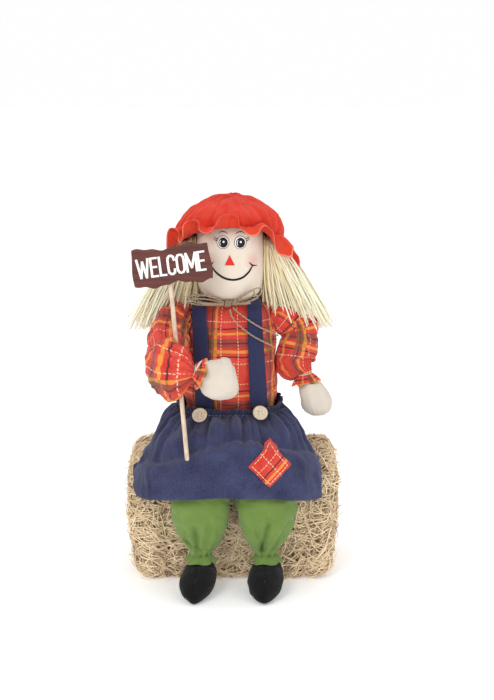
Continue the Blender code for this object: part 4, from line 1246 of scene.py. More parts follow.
def add_patch(skirt):
    graph = bpy.context.evaluated_depsgraph_get()
    surface = skirt.evaluated_get(graph)
    steps = 34
    share = np.linspace(-0.5, 0.5, steps + 1) * PATCH_SIDE
    points = np.zeros((steps + 1, steps + 1, 3))
    for i, u in enumerate(share):
        for j, v in enumerate(share):
            x = PATCH_X + (u + v) / math.sqrt(2)
            z = PATCH_Z + (u - v) / math.sqrt(2)
            _, place, normal, _ = cast_back(surface, x, z)
            if normal.y > 0:
                normal.negate()
            points[i, j] = place / MM + normal * 0.9
    for _ in range(3):
        points[1:-1, 1:-1] = (points[:-2, 1:-1] + points[2:, 1:-1] + points[1:-1, :-2] + points[1:-1,
                                                                                                2:]) / 4
    cloth = np.stack(np.meshgrid(share + 30.0, share + 50.0, indexing="ij"), axis=2)
    obj = piece("patch_cloth", points, grid_faces(steps + 1, steps + 1, wrap_columns=False), PLAID,
                "root", cloth=cloth, stands_for=("skirt_patch",))
    thicken(obj, 0.8)
    # running stitches just inside the edge
    edge = 3
    path = [points[edge, j] for j in range(edge, steps - edge + 1)]
    path += [points[i, steps - edge] for i in range(edge, steps - edge + 1)]
    path += [points[steps - edge, j] for j in range(steps - edge, edge - 1, -1)]
    path += [points[i, edge] for i in range(steps - edge, edge - 1, -1)]
    path = np.array(path)
    lines = []
    for k in range(0, len(path) - 4, 4):
        line = curve_through(path[k:k + 4], 6)
        line[:, 1] -= 0.75 + 0.25 * np.sin(np.linspace(0, math.pi, 6))
        line[:, 2] += 0.3
        lines.append(line)
    lines = np.stack(lines)
    up = np.zeros_like(lines)
    up[..., 1] = -1
    strands("patch_stitches", lines, np.full(len(lines), 0.7), np.full(len(lines), 0.4), up,
            np.full(len(lines), 0.6), CREAM_THREAD, "root", taper=0.8)


# ---------------------------------------------------------------- head and face

HEAD_CENTRE, HEAD_HALF, HEAD_POWER = (BODY_X, 0.0, 372.0), (39.5, 39.5, 50.0), 3.0
HEAD_ROUND = 2.25


def head_halves(z):
    power = np.where(z < HEAD_CENTRE[2], HEAD_POWER + 1.0, HEAD_POWER)
    share = (1 - np.minimum(np.abs((z - HEAD_CENTRE[2]) / HEAD_HALF[2]), 0.9995) ** power) ** (1 / power)
    return HEAD_HALF[0] * share, HEAD_HALF[1] * share


def on_face(x, z, out=0.25):
    """The point of the face at (x, z), standing off by out."""
    x, z = np.asarray(x, float), np.asarray(z, float)
    half_x, half_y = head_halves(z)
    share = np.minimum(np.abs((x - BODY_X) / half_x), 0.999)
    y = -half_y * (1 - share**HEAD_ROUND) ** (1 / HEAD_ROUND)
    return np.stack([x, y - out, z], axis=-1)


def add_head():
    rows, columns = 70, 96
    turn = np.linspace(-0.5 * math.pi + 0.14, 0.5 * math.pi - 0.1, rows)
    z = HEAD_CENTRE[2] + HEAD_HALF[2] * np.sin(turn)
    half_x, half_y = head_halves(z)
    angle = np.linspace(0, TAU, columns, endpoint=False)
    c, s = squared(angle, 2 / HEAD_ROUND)
    points = np.zeros((rows, columns, 3))
    points[..., 0] = BODY_X + half_x[:, None] * c
    points[..., 1] = half_y[:, None] * s
    points[..., 2] = z[:, None]
    # gathers under the chin, where the neck is tied
    low = np.clip((336 - points[..., 2]) / 12, 0, 1)
    points[..., :2] *= (1 + 0.05 * low * (pleats(angle, 34, 71)[None] - 0.5))[..., None]
    cloth, _ = tube_cloth(points)
    obj = capped("head_cover", points, cloth, FACE, "head", ("head",))
    # the neck: muslin drawn in, inside the twine
    stations = [(BODY_X, 0, 306, 11, 11), (BODY_X, 0, 314, 15, 15), (BODY_X, 0, 321, 15.5, 15.5),
                (BODY_X, 0, 328, 18, 18)]
    neck, _, _, angle = tube(stations, (0, 1, 0), 20, 48)
    neck[..., :2] = (neck[..., :2] - (BODY_X,
                                      0)) * (1 + 0.06 * (pleats(angle, 20, 72) - 0.5))[..., None] + (BODY_X,
                                                                                                     0)
    cloth, _ = tube_cloth(neck)
    obj = capped("neck_cover", neck, cloth, SKIN, "neck", ("neck_stem",))


def print_disc(name, x, z, radius_x, radius_z, material, out):
    rings = np.linspace(0.02, 1, 7)
    angle = np.linspace(0, TAU, 40, endpoint=False)
    px = x + rings[:, None] * radius_x * np.cos(angle)
    pz = z + rings[:, None] * radius_z * np.sin(angle)
    return piece(name, on_face(px, pz, out), grid_faces(7, 40), material, "head")


def print_line(name, places, widths, material, out=0.5):
    """A drawn line on the face through (x, z) places, with its width at each of them."""
    rows = curve_through([(x, z, w) for (x, z), w in zip(places, widths)], 44)
    tangent = np.gradient(rows[:, :2], axis=0)
    tangent /= np.linalg.norm(tangent, axis=1)[:, None]
    normal = np.stack([-tangent[:, 1], tangent[:, 0]], axis=1)
    shares = np.array([-0.5, 0.0, 0.5])
    place = rows[:, None, :2] + normal[:, None] * (rows[:, 2:3] * shares)[..., None]
    return piece(name, on_face(place[..., 0], place[..., 1], out), grid_faces(44, 3, wrap_columns=False),
                 material, "head")


def add_face():
    for side, x, z in (("right", -10.5, 393.0), ("left", 8.8, 392.6)):
        away = -1.0 if side == "right" else 1.0
        print_disc(f"eye_line_{side}", x, z, 7.0, 7.4, BLACK_INK, 0.30)
        print_disc(f"eye_white_{side}", x, z, 6.4, 6.8, WHITE_INK, 0.45)
        print_disc(f"eye_black_{side}", x + 0.2, z - 0.3, 5.2, 5.6, BLACK_INK, 0.60)
        print_disc(f"eye_light_{side}", x + 0.6, z + 0.6, 1.2, 1.2, WHITE_INK, 0.75)
        arc = [(x + 3.6 * math.cos(a), z - 0.3 + 4.0 * math.sin(a)) for a in np.linspace(2.2, 4.0, 6)]
        print_line(f"eye_glint_{side}", arc, (0.1, 0.7, 0.9, 0.9, 0.7, 0.1), WHITE_INK, 0.75)
        brow = [(x - 5.5, z + 9.2), (x - 2.5, z + 11.4), (x + 1.5, z + 11.6), (x + 5.5, z + 9.4)]
        print_line(f"brow_{side}", brow, (0.3, 0.9, 0.9, 0.3), BROWN_INK)
        for k, (lift, reach) in enumerate(((2.2, 4.6), (4.6, 4.2))):
            start = (x + away * 6.4, z + lift - 1.0)
            lash = [start, (start[0] + away * reach * 0.55, start[1] + 1.1),
                    (start[0] + away * reach, start[1] + 2.8)]
            print_line(f"lash_{side}_{k + 1}", lash, (1.0, 0.7, 0.2), BLACK_INK)
    smile = [(-24.5, 366.0), (-18, 358.2), (-9, 352.4), (1, 350.4), (11, 352.6), (18.4, 358.6),
             (22.4, 365.2)]
    print_line("smile", smile, (1.4, 2.1, 2.3, 2.3, 2.3, 2.1, 1.4), BLACK_INK)
    print_line("smile_end_right", [(-27.3, 365.6), (-24.8, 366.8), (-21.2, 370.2)], (0.7, 1.6, 0.8),
               BLACK_INK)
    print_line("smile_end_left", [(18.8, 369.6), (22.4, 366.0), (27.6, 364.8)], (0.8, 1.6, 0.7), BLACK_INK)
    # the nose: a felt triangle with soft corners, point up
    corners = ((-8.6, 367.2), (2.6, 367.0), (-3.0, 378.6))
    grid = []
    middle = np.mean(corners, axis=0)
    for grow in (0.02, 0.5, 0.9, 1.0):
        ring = []
        for (ax, az), (bx, bz) in zip(corners, corners[1:] + corners[:1]):
            for t in np.linspace(0, 1, 8, endpoint=False):
                ring.append(middle + (np.array([ax + (bx - ax) * t, az + (bz - az) * t]) - middle) * grow)
        grid.append(ring)
    grid = np.array(grid)
    out = np.array([1.6, 1.55, 1.3, 0.1])[:, None]
    nose = on_face(grid[..., 0], grid[..., 1], 0.0)
    nose[..., 1] -= out
    base = on_face(grid[-1:, :, 0], grid[-1:, :, 1], -0.4)
    points = np.concatenate([nose, base])
    piece("nose_felt", points, grid_faces(5, 24, caps=True), RED_FELT, "head",
          stands_for=("nose",))


# ---------------------------------------------------------------- hat

HAT_X, HAT_TILT = -2.0, 0.5


def add_hat():
    rows, columns = 60, 240
    levels = ((387, 53.0, 45.5, 1.0), (394, 57.5, 48, 0.95), (404, 58.5, 49, 0.72), (415, 54, 46, 0.45),
              (425, 45, 39, 0.25),
              (433, 33, 29, 0.12), (438, 20, 18, 0.05), (440.5, 10, 9, 0.0), (440.0, 4, 4, 0.0))
    table = curve_through([(z, a, b, t * 20) for z, a, b, t in levels], rows)
    angle = np.linspace(0, TAU, columns, endpoint=False) + math.pi / 2
    c, s = np.cos(angle)[None], np.sin(angle)[None]
    share = np.linspace(0, 1, rows)[:, None]
    fold = pleats(angle, 46, 81, 0.8)[None] - 0.5
    big = 0.6 * pleats(angle, 26, 82, 0.7)[None] + 0.4 * pleats(angle + 0.2 * share, 15, 86, 0.8) - 0.5
    near_band = np.exp(-share / 0.12)
    near_top = np.exp(-(1 - share) / 0.30)
    swell = (1 + 0.05 * fold * near_band + 0.26 * big * near_top * (share < 0.999)
             + 0.10 * big * (1 - near_top))
    half_x, half_y = table[:, 1:2] * swell, table[:, 2:3] * swell
    points = np.zeros((rows, columns, 3))
    points[..., 0] = HAT_X + half_x * c
    points[..., 1] = half_y * s
    points[..., 2] = table[:, :1] - HAT_TILT * table[:, 3:4] / 20 * points[..., 1]
    crush = 1.3 * smooth_noise(points, 26, 83) + 0.5 * smooth_noise(points, 11, 84)
    out = points - (HAT_X, 0, 400)
    out /= np.linalg.norm(out, axis=2, keepdims=True)
    points += out * (crush * np.clip(share * 6, 0, 1))[..., None]
    points[..., 2] += 2.2 * big * near_top
    points[..., 2] = np.minimum(points[..., 2], 446.0)
    # the underside turns in, round the head
    inner = points[:1].copy()
    inner[..., :2] = (inner[..., :2] - (HAT_X, 0)) * 0.86 + (HAT_X, 0)
    inner[..., 2] += 2.0
    points = np.concatenate([inner, points])
    cloth, _ = tube_cloth(points)
    obj = piece("hat_crown_cloth", points, grid_faces(rows + 1, columns), RED, "head",
                cloth=cloth,
                stands_for=("hat_crown", "hat_elastic"))
    thicken(obj, 1.0, -1.0)
    # a small knot of thread on the crown
    top = np.array([HAT_X, 0, 439.5])
    knot = [(top[0], top[1], top[2] - 2, 2.0, 2.0), (top[0], top[1], top[2], 6.2, 6.2),
            (top[0] + 0.5, top[1], top[2] + 2.4, 3.2, 3.2),
            (top[0] + 1, top[1], top[2] + 4.0, 0.6, 0.6)]
    knob, _, _, _ = tube(knot, (0, 1, 0), 12, 16)
    cloth, _ = tube_cloth(knob)
    piece("hat_tuft", knob, grid_faces(12, 16, caps=True), RED, "head", cloth=cloth)


def add_ruffle():
    rows, columns = 34, 520
    angle = np.linspace(0, TAU, columns, endpoint=False) + math.pi / 2
    c, s = np.cos(angle)[None], np.sin(angle)[None]
    t = np.linspace(0, 1, rows)[:, None]
    half_x, half_y = 52.5 + 23.0 * t, 45.5 + 12.0 * t
    side = np.where(c > 0, 30.0 * np.maximum(c, 0) ** 1.4, 11.0 * np.abs(c) ** 1.5)
    droop = side * t**1.1
    turn = angle * 11 + 0.9 * np.sin(angle * 3 + 0.6) + 0.5 * np.sin(angle * 5)
    wave = np.sin(turn)[None]
    swing = np.cos(turn)[None]
    fine = pleats(angle, 92, 91, 0.9)[None] - 0.5
    grow = t**0.9
    points = np.zeros((rows, columns, 3))
    points[..., 0] = HAT_X + (half_x + 3.5 * grow * swing + 1.4 * fine * (1 - 0.8 * t)) * c
    points[..., 1] = (half_y + 5.5 * grow * swing + 1.4 * fine * (1 - 0.8 * t)) * s
    points[..., 2] = (388.0 + 3.5 * np.sin(t * math.pi) + 3.0 * t - HAT_TILT * half_y * s - droop
                      + (8.0 + 3.5 * np.abs(c)) * grow * wave)
    # the waves lean over sideways, so that they overlap
    lean = -3.1 * grow * np.sin(2 * turn)[None]
    points[..., 0] += -s * lean
    points[..., 1] += c * lean
    points[..., 2] += 0.7 * smooth_noise(points, 18, 92)
    points[..., 2] += 1.2 * fine * (1 - t)
    down = np.broadcast_to((1 - t) * 30.0, (rows, columns))
    cloth = cloth_pairs((np.arange(columns) / columns * 620)[None], down)
    obj = piece("hat_ruffle_cloth", points, grid_faces(rows, columns), RED_EDGE_HIGHLIGHT, "head",
                cloth=cloth,
                stands_for=("hat_ruffle",))
    thicken(obj, 0.9)


# ---------------------------------------------------------------- hair


def add_hair():
    rng = np.random.default_rng(101)
    for side, sign in (("right", -1.0), ("left", 1.0)):
        count, steps = 560, 12
        u = rng.uniform(0, 1, count)
        depth = rng.uniform(-1, 1, count)
        start = np.stack([BODY_X + sign * (38 + 20 * u), 2 + 17 * depth,
                          392 - 8 * u + rng.normal(0, 2, count)], axis=1)
        spread = np.clip(u + rng.normal(0, 0.16, count), -0.1, 1.1)
        mid = np.stack([BODY_X + sign * (41 + 33 * spread), 1 + 14 * depth + rng.normal(0, 2, count),
                        353 + 5 * spread + rng.normal(0, 3, count)], axis=1)
        end = np.stack([BODY_X + sign * (47 + 60 * spread + rng.normal(0, 4, count)),
                        -2 + 14 * depth + rng.normal(0, 4, count),
                        319 - 27 * spread + rng.normal(0, 6, count)], axis=1)
        end[:, 2] = np.maximum(end[:, 2], 286)
        t = np.linspace(0, 1, steps)[None, :, None]
        lines = (1 - t) ** 2 * start[:, None] + 2 * t * (1 - t) * (1.25 * mid - 0.125 * start
                                                                   - 0.125 * end)[:, None] \
            + t**2 * end[:, None]
        waver = rng.normal(0, 1.0, (count, 3))[:, None] * np.sin(t * 5 + rng.uniform(0, TAU,
                                                                                     count)[:, None, None]) * 1.5
        lines = lines + waver * t
        up = np.broadcast_to(rng.normal(0, 0.5, (count, 1, 3)) + (0.15 * sign, -1.0, 0.25), lines.shape)
        tint = np.clip(0.35 + 0.6 * u + rng.normal(0, 0.14, count), 0, 1)[:, None] + np.linspace(-0.12,
                                                                                                 0.12,
                                                                                                 steps)[None]
        strands(f"hair_lock_{side}", lines, rng.uniform(1.0, 2.3, count), np.full(count, 0.35), up,
                np.clip(tint, 0, 1), RAFFIA, "head", stands_for=(f"hair_{side}",), taper=0.5)
    count, steps = 330, 10
    x = rng.uniform(-1, 1, count)
    start = np.stack([BODY_X + 40 * x, 40 * np.sqrt(np.maximum(1 - (x * 0.9) ** 2, 0.05)) + rng.uniform(0,
                                                                                                        4,
                                                                                                        count),
                      np.full(count, 378.0)], axis=1)
    end = start + np.stack([6 * x + rng.normal(0, 3, count),
                            4 - 6 * (1 - np.abs(x)) + rng.normal(0, 3, count),
                            -70 + rng.normal(0, 6, count)], axis=1)
    end[:, 1] = np.maximum(end[:, 1], 33)
    t = np.linspace(0, 1, steps)[None, :, None]
    lines = start[:, None] + (end - start)[:, None] * t
    lines[..., 1] += (5 * np.sin(t * math.pi))[..., 0] + rng.normal(0, 0.7, (count, 1))
    lines[..., 0] += rng.normal(0, 1.2, (count, 1)) * np.sin(t[..., 0] * 4)
    up = np.broadcast_to(rng.normal(0, 0.4, (count, 1, 3)) + (0, 1.0, 0.1), lines.shape)
    strands("hair_curtain", lines, rng.uniform(1.4, 2.8, count), np.full(count, 0.35), up,
            np.clip(rng.normal(0.5, 0.22, count), 0, 1), RAFFIA, "head",
            stands_for=("hair_back",), taper=0.5)


# ---------------------------------------------------------------- arms


def stuffed(name, stations, up, material, body, stands_for, rows=64, columns=72,
            folds=(20, 0.10, 0.10),
            lumps=1.2, seed=1, shape=2.0, cloth_start=(0.0, 0.0), both_ends=True, blow=0.0,
            creases=()):
    """A stuffed cloth tube with gathers at its tied ends. folds is (count, depth, reach from the end).
    creases are long folds down its front, as (X and Z at the top, X and Z at the foot, width, depth)."""
    points, centres, share, angle = tube(stations, up, rows, columns, shape)
    count, depth, reach = folds
    crease = pleats(angle, count, seed) - 0.5
    tied = np.exp(-(1 - share) / reach)
    if both_ends:
        tied = tied + np.exp(-share / reach)
    offset = points - centres
    offset *= (1 + depth * 2.4 * crease * tied)[..., None]
    out = offset / np.linalg.norm(offset, axis=2, keepdims=True)
    wrinkle = smooth_noise(points, 24, seed + 1) + 0.5 * smooth_noise(points, 11, seed + 2)
    offset += out * (lumps * wrinkle * np.sin(np.clip(share, 0.02, 0.98) * math.pi) ** 0.5)[..., None]
    points = centres + offset
    facing = np.clip((centres[..., 1] - points[..., 1]) / 8.0, 0.0, 1.0)
    for top_x, top_z, foot_x, foot_z, width, deep in creases:
        line = np.array([foot_x - top_x, foot_z - top_z])
        away = points[..., [0, 2]] - (top_x, top_z)
        t = np.clip((away @ line) / (line @ line), 0.0, 1.0)
        gap = (away[..., 0] * line[1] - away[..., 1] * line[0]) / np.linalg.norm(line)
        beyond = np.linalg.norm(away - t[..., None] * line, axis=2)
        fall = np.exp(-((beyond / width) ** 2)) * np.clip(t / 0.35, 0.0, 1.0)
        # a steep side and, past it, the cloth that rolls over
        ridge = np.exp(-(((gap - 1.6 * width) / (1.2 * width)) ** 2)) * np.exp(-((beyond / (3 * width)) ** 2))
        points[..., 1] += facing * deep * (fall - 0.6 * ridge * np.clip(t / 0.35, 0.0, 1.0))
    cloth, _ = tube_cloth(points, *cloth_start, girth=PLAID_PERIOD * 2 if material is PLAID else None)
    obj = capped(name, points, cloth, material, None, stands_for)
    if blow:
        pinned = np.ones(len(obj.data.vertices), bool).reshape(rows + 2, columns)
        pinned[4:-4] = False
        simulate(obj, pinned.ravel(), blow, 12, 3.5, grow=0.06)
    if body:
        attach(obj, body)
    return obj


def ring_axes(along):
    """Unit vectors along the axis of a tie, across it and above it."""
    along = np.asarray(along, float) / np.linalg.norm(along)
    across = np.cross(along, (0.1, 0.3, 1.0))
    if np.linalg.norm(across) < 0.2:
        across = np.cross(along, (1.0, 0.0, 0.0))
    across /= np.linalg.norm(across)
    return along, across, np.cross(across, along)


def ring_of_thread(name, centre, along, radius, body, turns=3, stands_for=(), material=None):
    along, across, above = ring_axes(along)
    angle = np.linspace(0, TAU, 48, endpoint=False)
    tube_angle = np.linspace(0, TAU, 8, endpoint=False)
    rings, faces = [], []
    for k in range(turns):
        middle = np.asarray(centre) + along * (k - (turns - 1) / 2) * 0.9
        out = across[None] * np.cos(angle)[:, None] + above[None] * np.sin(angle)[:, None]
        ring = middle + out * radius
        ring = ring[:, None] + (out[:, None] * np.cos(tube_angle)[None, :, None]
                                + along * np.sin(tube_angle)[None, :, None]) * 0.5
        start = len(rings) * 48 * 8
        faces += [tuple(start + i for i in f) for f in grid_faces(48, 8, wrap_rows=True)]
        rings.append(ring)
    return piece(name, np.stack(rings), faces, material or THREAD, body, stands_for=stands_for)


def frill(name, centre, along, radius, flare, length, waves, material, body, stands_for,
          seed=5):
    """A gathered frill that flares from a tie."""
    along, across, above = ring_axes(along)
    columns, rows = 160, 14
    angle = np.linspace(0, TAU, columns, endpoint=False)
    t = np.linspace(0, 1, rows)[:, None]
    wave = np.sin(angle * waves + 0.8 * np.sin(angle * 2 + seed))[None]
    fine = pleats(angle, 30, seed)[None] - 0.5
    reach = radius + flare * t**0.8 + 2.2 * t * wave + 1.3 * (1 - 0.4 * t) * fine
    depth = length * t * (1 + 0.10 * np.cos(angle * waves)[None])
    points = (np.asarray(centre)[None, None] + along * depth[..., None]
              + (across[None, None] * np.cos(angle)[None, :, None]
                 + above[None, None] * np.sin(angle)[None, :, None]) * reach[..., None])
    girth = PLAID_PERIOD * 2
    cloth = cloth_pairs((angle / TAU * girth)[None], depth + 50.0)
    obj = piece(name, points, grid_faces(rows, columns), material, body, cloth=cloth,
                stands_for=stands_for)
    thicken(obj, 0.9)
    return obj


def thread_ends(name, start, heading, body, seed):
    """Two loose ends of the thread that ties a wrist."""
    rng = np.random.default_rng(seed)
    lines = []
    for _ in range(2):
        t = np.linspace(0, 1, 10)[:, None]
        way = np.asarray(heading, float) + rng.normal(0, 2.0, 3)
        curl = rng.normal(0, 1.6, 3)
        lines.append(np.asarray(start, float) + way * t + curl * np.sin(t * 3.0))
    lines = np.stack(lines)
    up = np.broadcast_to(np.array([0.2, -1.0, 0.3]), lines.shape)
    return strands(name, lines, np.full(2, 0.7), np.full(2, 0.6), up, np.full(2, 0.5), THREAD,
                   body, taper=0.8)


def mitten(name, stations, up, body, stands_for, seed):
    return stuffed(name, stations, up, SKIN, body, stands_for, rows=44, columns=56,
                   folds=(18, 0.09, 0.16), lumps=0.8, seed=seed, shape=2.3, both_ends=False)


def add_arms():
    right = [
        (-46, -3, 303, 12, 12), (-57, -6, 301, 18, 17), (-66, -16, 294, 20, 20), (-71, -31, 283, 20, 24),
        (-73, -48, 271, 20, 28), (-73, -64, 263, 20, 31), (-71, -80, 260, 18.5, 32),
        (-65, -91, 260, 16.5, 31),
        (-57, -97.5, 260, 14, 27), (-50, -99.8, 259.5, 11.5, 19), (-45.5, -100.2, 259, 9, 11.5),
        (-42.5, -100, 258.8, 7.5, 8),
    ]
    obj = stuffed("sleeve_right", right, (0, 0, 1), PLAID,
                  None, ("sleeve_upper_right", "sleeve_lower_right"),
                  rows=96, columns=96, folds=(17, 0.17, 0.17), lumps=2.0, seed=111,
                  cloth_start=(12.0, 36.0), blow=5.0)
    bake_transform(obj)
    along = np.array([1.0, 0.12, -0.35])
    ring_of_thread("wrist_thread_right", (-41.8, -99.7, 259.0), along, 8.6, "right_forearm",
                   stands_for=("wrist_tie_right",))
    thread_ends("wrist_thread_ends_right", (-40, -108.3, 262), (7, -5, 14), "right_forearm", 7)
    frill("cuff_cloth_right", (-42.5, -99.8, 259.2), along, 8.2, 8.5, 10.5, 5, PLAID,
          "right_forearm",
          ("cuff_right",), 121)
    hand = [(-43.5, -99.5, 259.5, 6.5, 6.5), (-36, -99, 258, 9, 11), (-28, -98.5, 255.5, 11.5, 18),
            (-18, -98, 251.5, 13, 23.0),
            (-8, -97, 250.5, 13, 23.0), (0, -96, 250.5, 11, 19.5), (5, -95.5, 251.3, 6.5, 11.5)]
    mitten("mitten_right", hand, (0, 0, 1), "right_forearm", ("hand_right",), 131)

    upper = [(44, -3, 305, 11, 11), (53, -3, 303, 16, 15), (62, -3, 297, 18.5, 18), (69, -3, 290, 18.5, 18),
             (75, -4, 280, 17, 17)]
    stuffed("sleeve_top_left", upper, (0, 1, 0), PLAID, "left_upper_arm", ("sleeve_upper_left",),
            rows=40,
            columns=80, folds=(24, 0.10, 0.2), lumps=1.4, seed=141, cloth_start=(12.0, 30.0),
            both_ends=False)
    lower = [(68, -2, 305, 10, 10), (73, -2, 299, 15.5, 15), (77, -3, 290, 18, 17.5),
             (78, -5, 278, 19.5, 19.5), (75.5, -8, 265, 22, 21),
             (73, -12, 251, 24, 20), (75.5, -15.5, 243.5, 20.5, 16), (80, -17.5, 239, 12.5, 11.5),
             (82.4, -18.8, 236, 8.6, 8.6), (83, -19.6, 233.5, 7.6, 7.6)]
    stuffed("sleeve_left", lower, (0, 1, 0), PLAID, "left_forearm", ("sleeve_lower_left",),
            rows=70,
            columns=90, folds=(26, 0.12, 0.12), lumps=1.9, seed=151, cloth_start=(36.0, 38.0), blow=5.0)
    along = np.array([0.2, -0.15, -1.0])
    ring_of_thread("wrist_thread_left", (82.8, -19.4, 234.6), along, 8.6, "left_forearm",
                   stands_for=("wrist_tie_left",))
    frill("cuff_cloth_left", (82.8, -19.4, 235.0), along, 8.4, 7.0, 10.0, 6, PLAID, "left_forearm",
          ("cuff_left",), 161)
    hand = [(82.9, -19.6, 236.0, 6.5, 6.5), (84.5, -21, 229, 9, 8.8), (88.5, -22.5, 221, 13.5, 12),
            (94, -24, 211, 17, 13.5),
            (97.5, -26, 201, 17, 13), (98.5, -27, 193.5, 13.5, 10), (98.8, -27.5, 189, 7, 5.5)]
    mitten("mitten_left", hand, (0, 1, 0), "left_forearm", ("hand_left",), 171)


# ---------------------------------------------------------------- legs

KNEE_Y = -88.0
LEG_CREASES = {
    "right": ((-44.0, 84.0, -39.0, 50.0, 3.2, 6.5), (-58.0, 66.0, -43.0, 54.0, 3.0, 5.0),
              (-24.0, 92.0, -31.0, 52.0, 3.5, 4.0)),
    "left": ((43.0, 98.0, 33.0, 52.0, 3.4, 6.5), (25.0, 84.0, 34.0, 50.0, 3.0, 4.5),
             (60.0, 82.0, 45.0, 52.0, 3.2, 4.0)),
}


def add_legs():
    for side, x in (("right", -37.0), ("left", 38.5)):
        s = -1 if side == "right" else 1
        # top to ankle: centre X, Y, Z, half width, half depth
        stations = [(x + s, -80, 147, 22, 6), (x + s, -81, 142, 31, 11), (x + s, -83, 134, 35, 13),
                    (x, -85, 122, 35.5, 15.5),
                    (x, -88, 106, 34, 19), (x - 0.5 * s, -89, 88, 32, 20), (x - s, -88.5, 72, 28, 19),
                    (x - s, -88, 58, 21, 16.5),
                    (x, -88, 48, 13, 12.5), (x, -88, 42, 10.2, 10.2), (x, -88, 38.5, 10.0, 10.0)]
        stuffed(f"trouser_{side}", stations, (0, 1, 0), GREEN, f"{side}_leg",
                (f"trouser_leg_{side}",), rows=90, columns=110, folds=(9, 0.15, 0.2), lumps=1.0,
                seed=181 + 10 * (s > 0), shape=2.2, both_ends=False, creases=LEG_CREASES[side])
        ring_of_thread(f"ankle_thread_{side}", (x, KNEE_Y, 41.6), (0, 0, 1), 10.9, f"{side}_leg",
                       stands_for=(f"ankle_tie_{side}",),
                       material=GREEN_THREAD)
        frill(f"ankle_frill_cloth_{side}", (x, KNEE_Y, 41.2), (0, 0, -1), 10.4, 6.5, 7.0, 6, GREEN,
              f"{side}_leg",
              (f"ankle_frill_{side}",), 201)
        add_shoe(side, x)


def add_shoe(side, x):
    stations = ((-71.0, 6, 2.0, 14), (-74.5, 12.5, 0.5, 25), (-82, 17, 0, 33.5), (-92, 19, 0, 35.5),
                (-104, 19.8, 0, 33),
                (-117, 19.2, 0, 28.5), (-128, 14.5, 0, 22.5), (-136, 8.5, 0.8, 15.0),
                (-140.5, 3.0, 2.5, 9.0))
    table = curve_through(stations, 56)
    toe_in = 0.07 if side == "left" else 0.13
    angle = np.linspace(0, TAU, 72, endpoint=False) + math.pi / 2
    c, s = squared(angle, 2 / 2.2)
    points = np.zeros((56, 72, 3))
    middle = x + toe_in * (table[:, 0] - KNEE_Y)
    points[..., 0] = middle[:, None] + table[:, 1:2] * c
    points[..., 1] = table[:, :1]
    points[..., 2] = (table[:, 2:3] + table[:, 3:4]) / 2 + (table[:, 3:4] - table[:, 2:3]) / 2 * s
    # the seam runs up the middle of the toe and over the top, as a shallow valley
    seam = np.exp(-(((points[..., 0] - middle[:, None]) / 1.5) ** 2)) * (s > 0)[None]
    points[..., 2] -= 1.1 * seam
    points += (0.5 * smooth_noise(points, 16, 211))[..., None] * (1, 0.3, 1)
    points[..., 2] = np.maximum(points[..., 2], 0.05)
    cloth, _ = tube_cloth(points)
    obj = capped(f"shoe_felt_{side}", points, cloth, FELT, f"{side}_foot", (f"shoe_{side}",))
    # stitches across the seam, and lint caught in the felt
    lines = []
    for r in range(20, 52, 3):
        top = points[r, 0] * (0, 1, 1) + (middle[r], 0, 0)
        t = np.linspace(-1, 1, 5)[:, None]
        lines.append(top + np.array([1.6, 1.2, 0.0]) * t + np.array([0, 0, 1.0]) * (0.3 + 0.3 * (1 - t**2)))
    rng = np.random.default_rng(221)
    for _ in range(26):
        r, k = rng.integers(6, 52), rng.integers(0, 72)
        if points[r, k, 2] < 5:
            continue
        t = np.linspace(-1, 1, 5)[:, None]
        away = points[r, k] - (middle[r], points[r, k, 1], 15)
        away = away / max(np.linalg.norm(away), 1)
        lines.append(points[r, k] + away * 0.3 + rng.normal(0, 1.3, 3) * t)
    lines = np.stack(lines)
    up = np.broadcast_to(np.array([0.1, -0.5, 1.0]), lines.shape)
    widths = np.where(np.arange(len(lines)) < 11, 0.5, 0.22)
    tint = np.where(np.arange(len(lines)) < 11, 0.0, 1.0)
    strands(f"shoe_lint_{side}", lines, widths, widths * 0.8, up, tint, LINT, f"{side}_foot",
            taper=0.6)


# ---------------------------------------------------------------- sign

STICK_LOW, STICK_HIGH = np.array([-49.6, -106.0, 152.5]), np.array([-71.7, -57.3, 385.0])
BOARD_ROLL = math.radians(8.0)
# strokes on a grid 10 high, as polylines; a letter's width comes first
LETTERS = {
    "W": (8.4, [[(0, 10), (2.1, 0), (4.2, 8.6), (6.3, 0), (8.4, 10)]]),
    "E": (4.6, [[(4.6, 10), (0, 10), (0, 0), (4.6, 0)], [(0, 5.1), (4.0, 5.1)]]),
    "L": (4.2, [[(0, 10), (0, 0), (4.2, 0)]]),
    "C": (4.8, [[(4.8, 7.6), (4.4, 9.3), (3.2, 10), (1.6, 10), (0.3, 9.0), (0, 7.2), (0, 2.8), (0.3, 1.0),
                 (1.6, 0), (3.2, 0),
                 (4.4, 0.7), (4.8, 2.4)]]),
    "O": (5.2, [[(2.6, 10), (1.2, 9.7), (0.2, 8.5), (0, 7), (0, 3), (0.2, 1.5), (1.2, 0.3), (2.6, 0),
                 (4.0, 0.3), (5.0, 1.5),
                 (5.2, 3), (5.2, 7), (5.0, 8.5), (4.0, 9.7), (2.6, 10)]]),
    "M": (7.0, [[(0, 0), (0, 10), (3.5, 2.2), (7.0, 10), (7.0, 0)]]),
}


def board_frame():
    rise = (STICK_HIGH - STICK_LOW) / np.linalg.norm(STICK_HIGH - STICK_LOW)
    across = np.array([math.cos(BOARD_ROLL), 0.0, math.sin(BOARD_ROLL)])
    out = np.cross(across, rise)
    out /= np.linalg.norm(out)
    out *= -np.sign(out[1])
    up = np.cross(out, across)
    up *= np.sign(up[2])
    up /= np.linalg.norm(up)
    centre = STICK_LOW + rise * ((370.5 - STICK_LOW[2]) / rise[2]) + out * (2.5 + 0.5 + 1.3)
    centre[0] = -67.0
    return centre, across, up, out


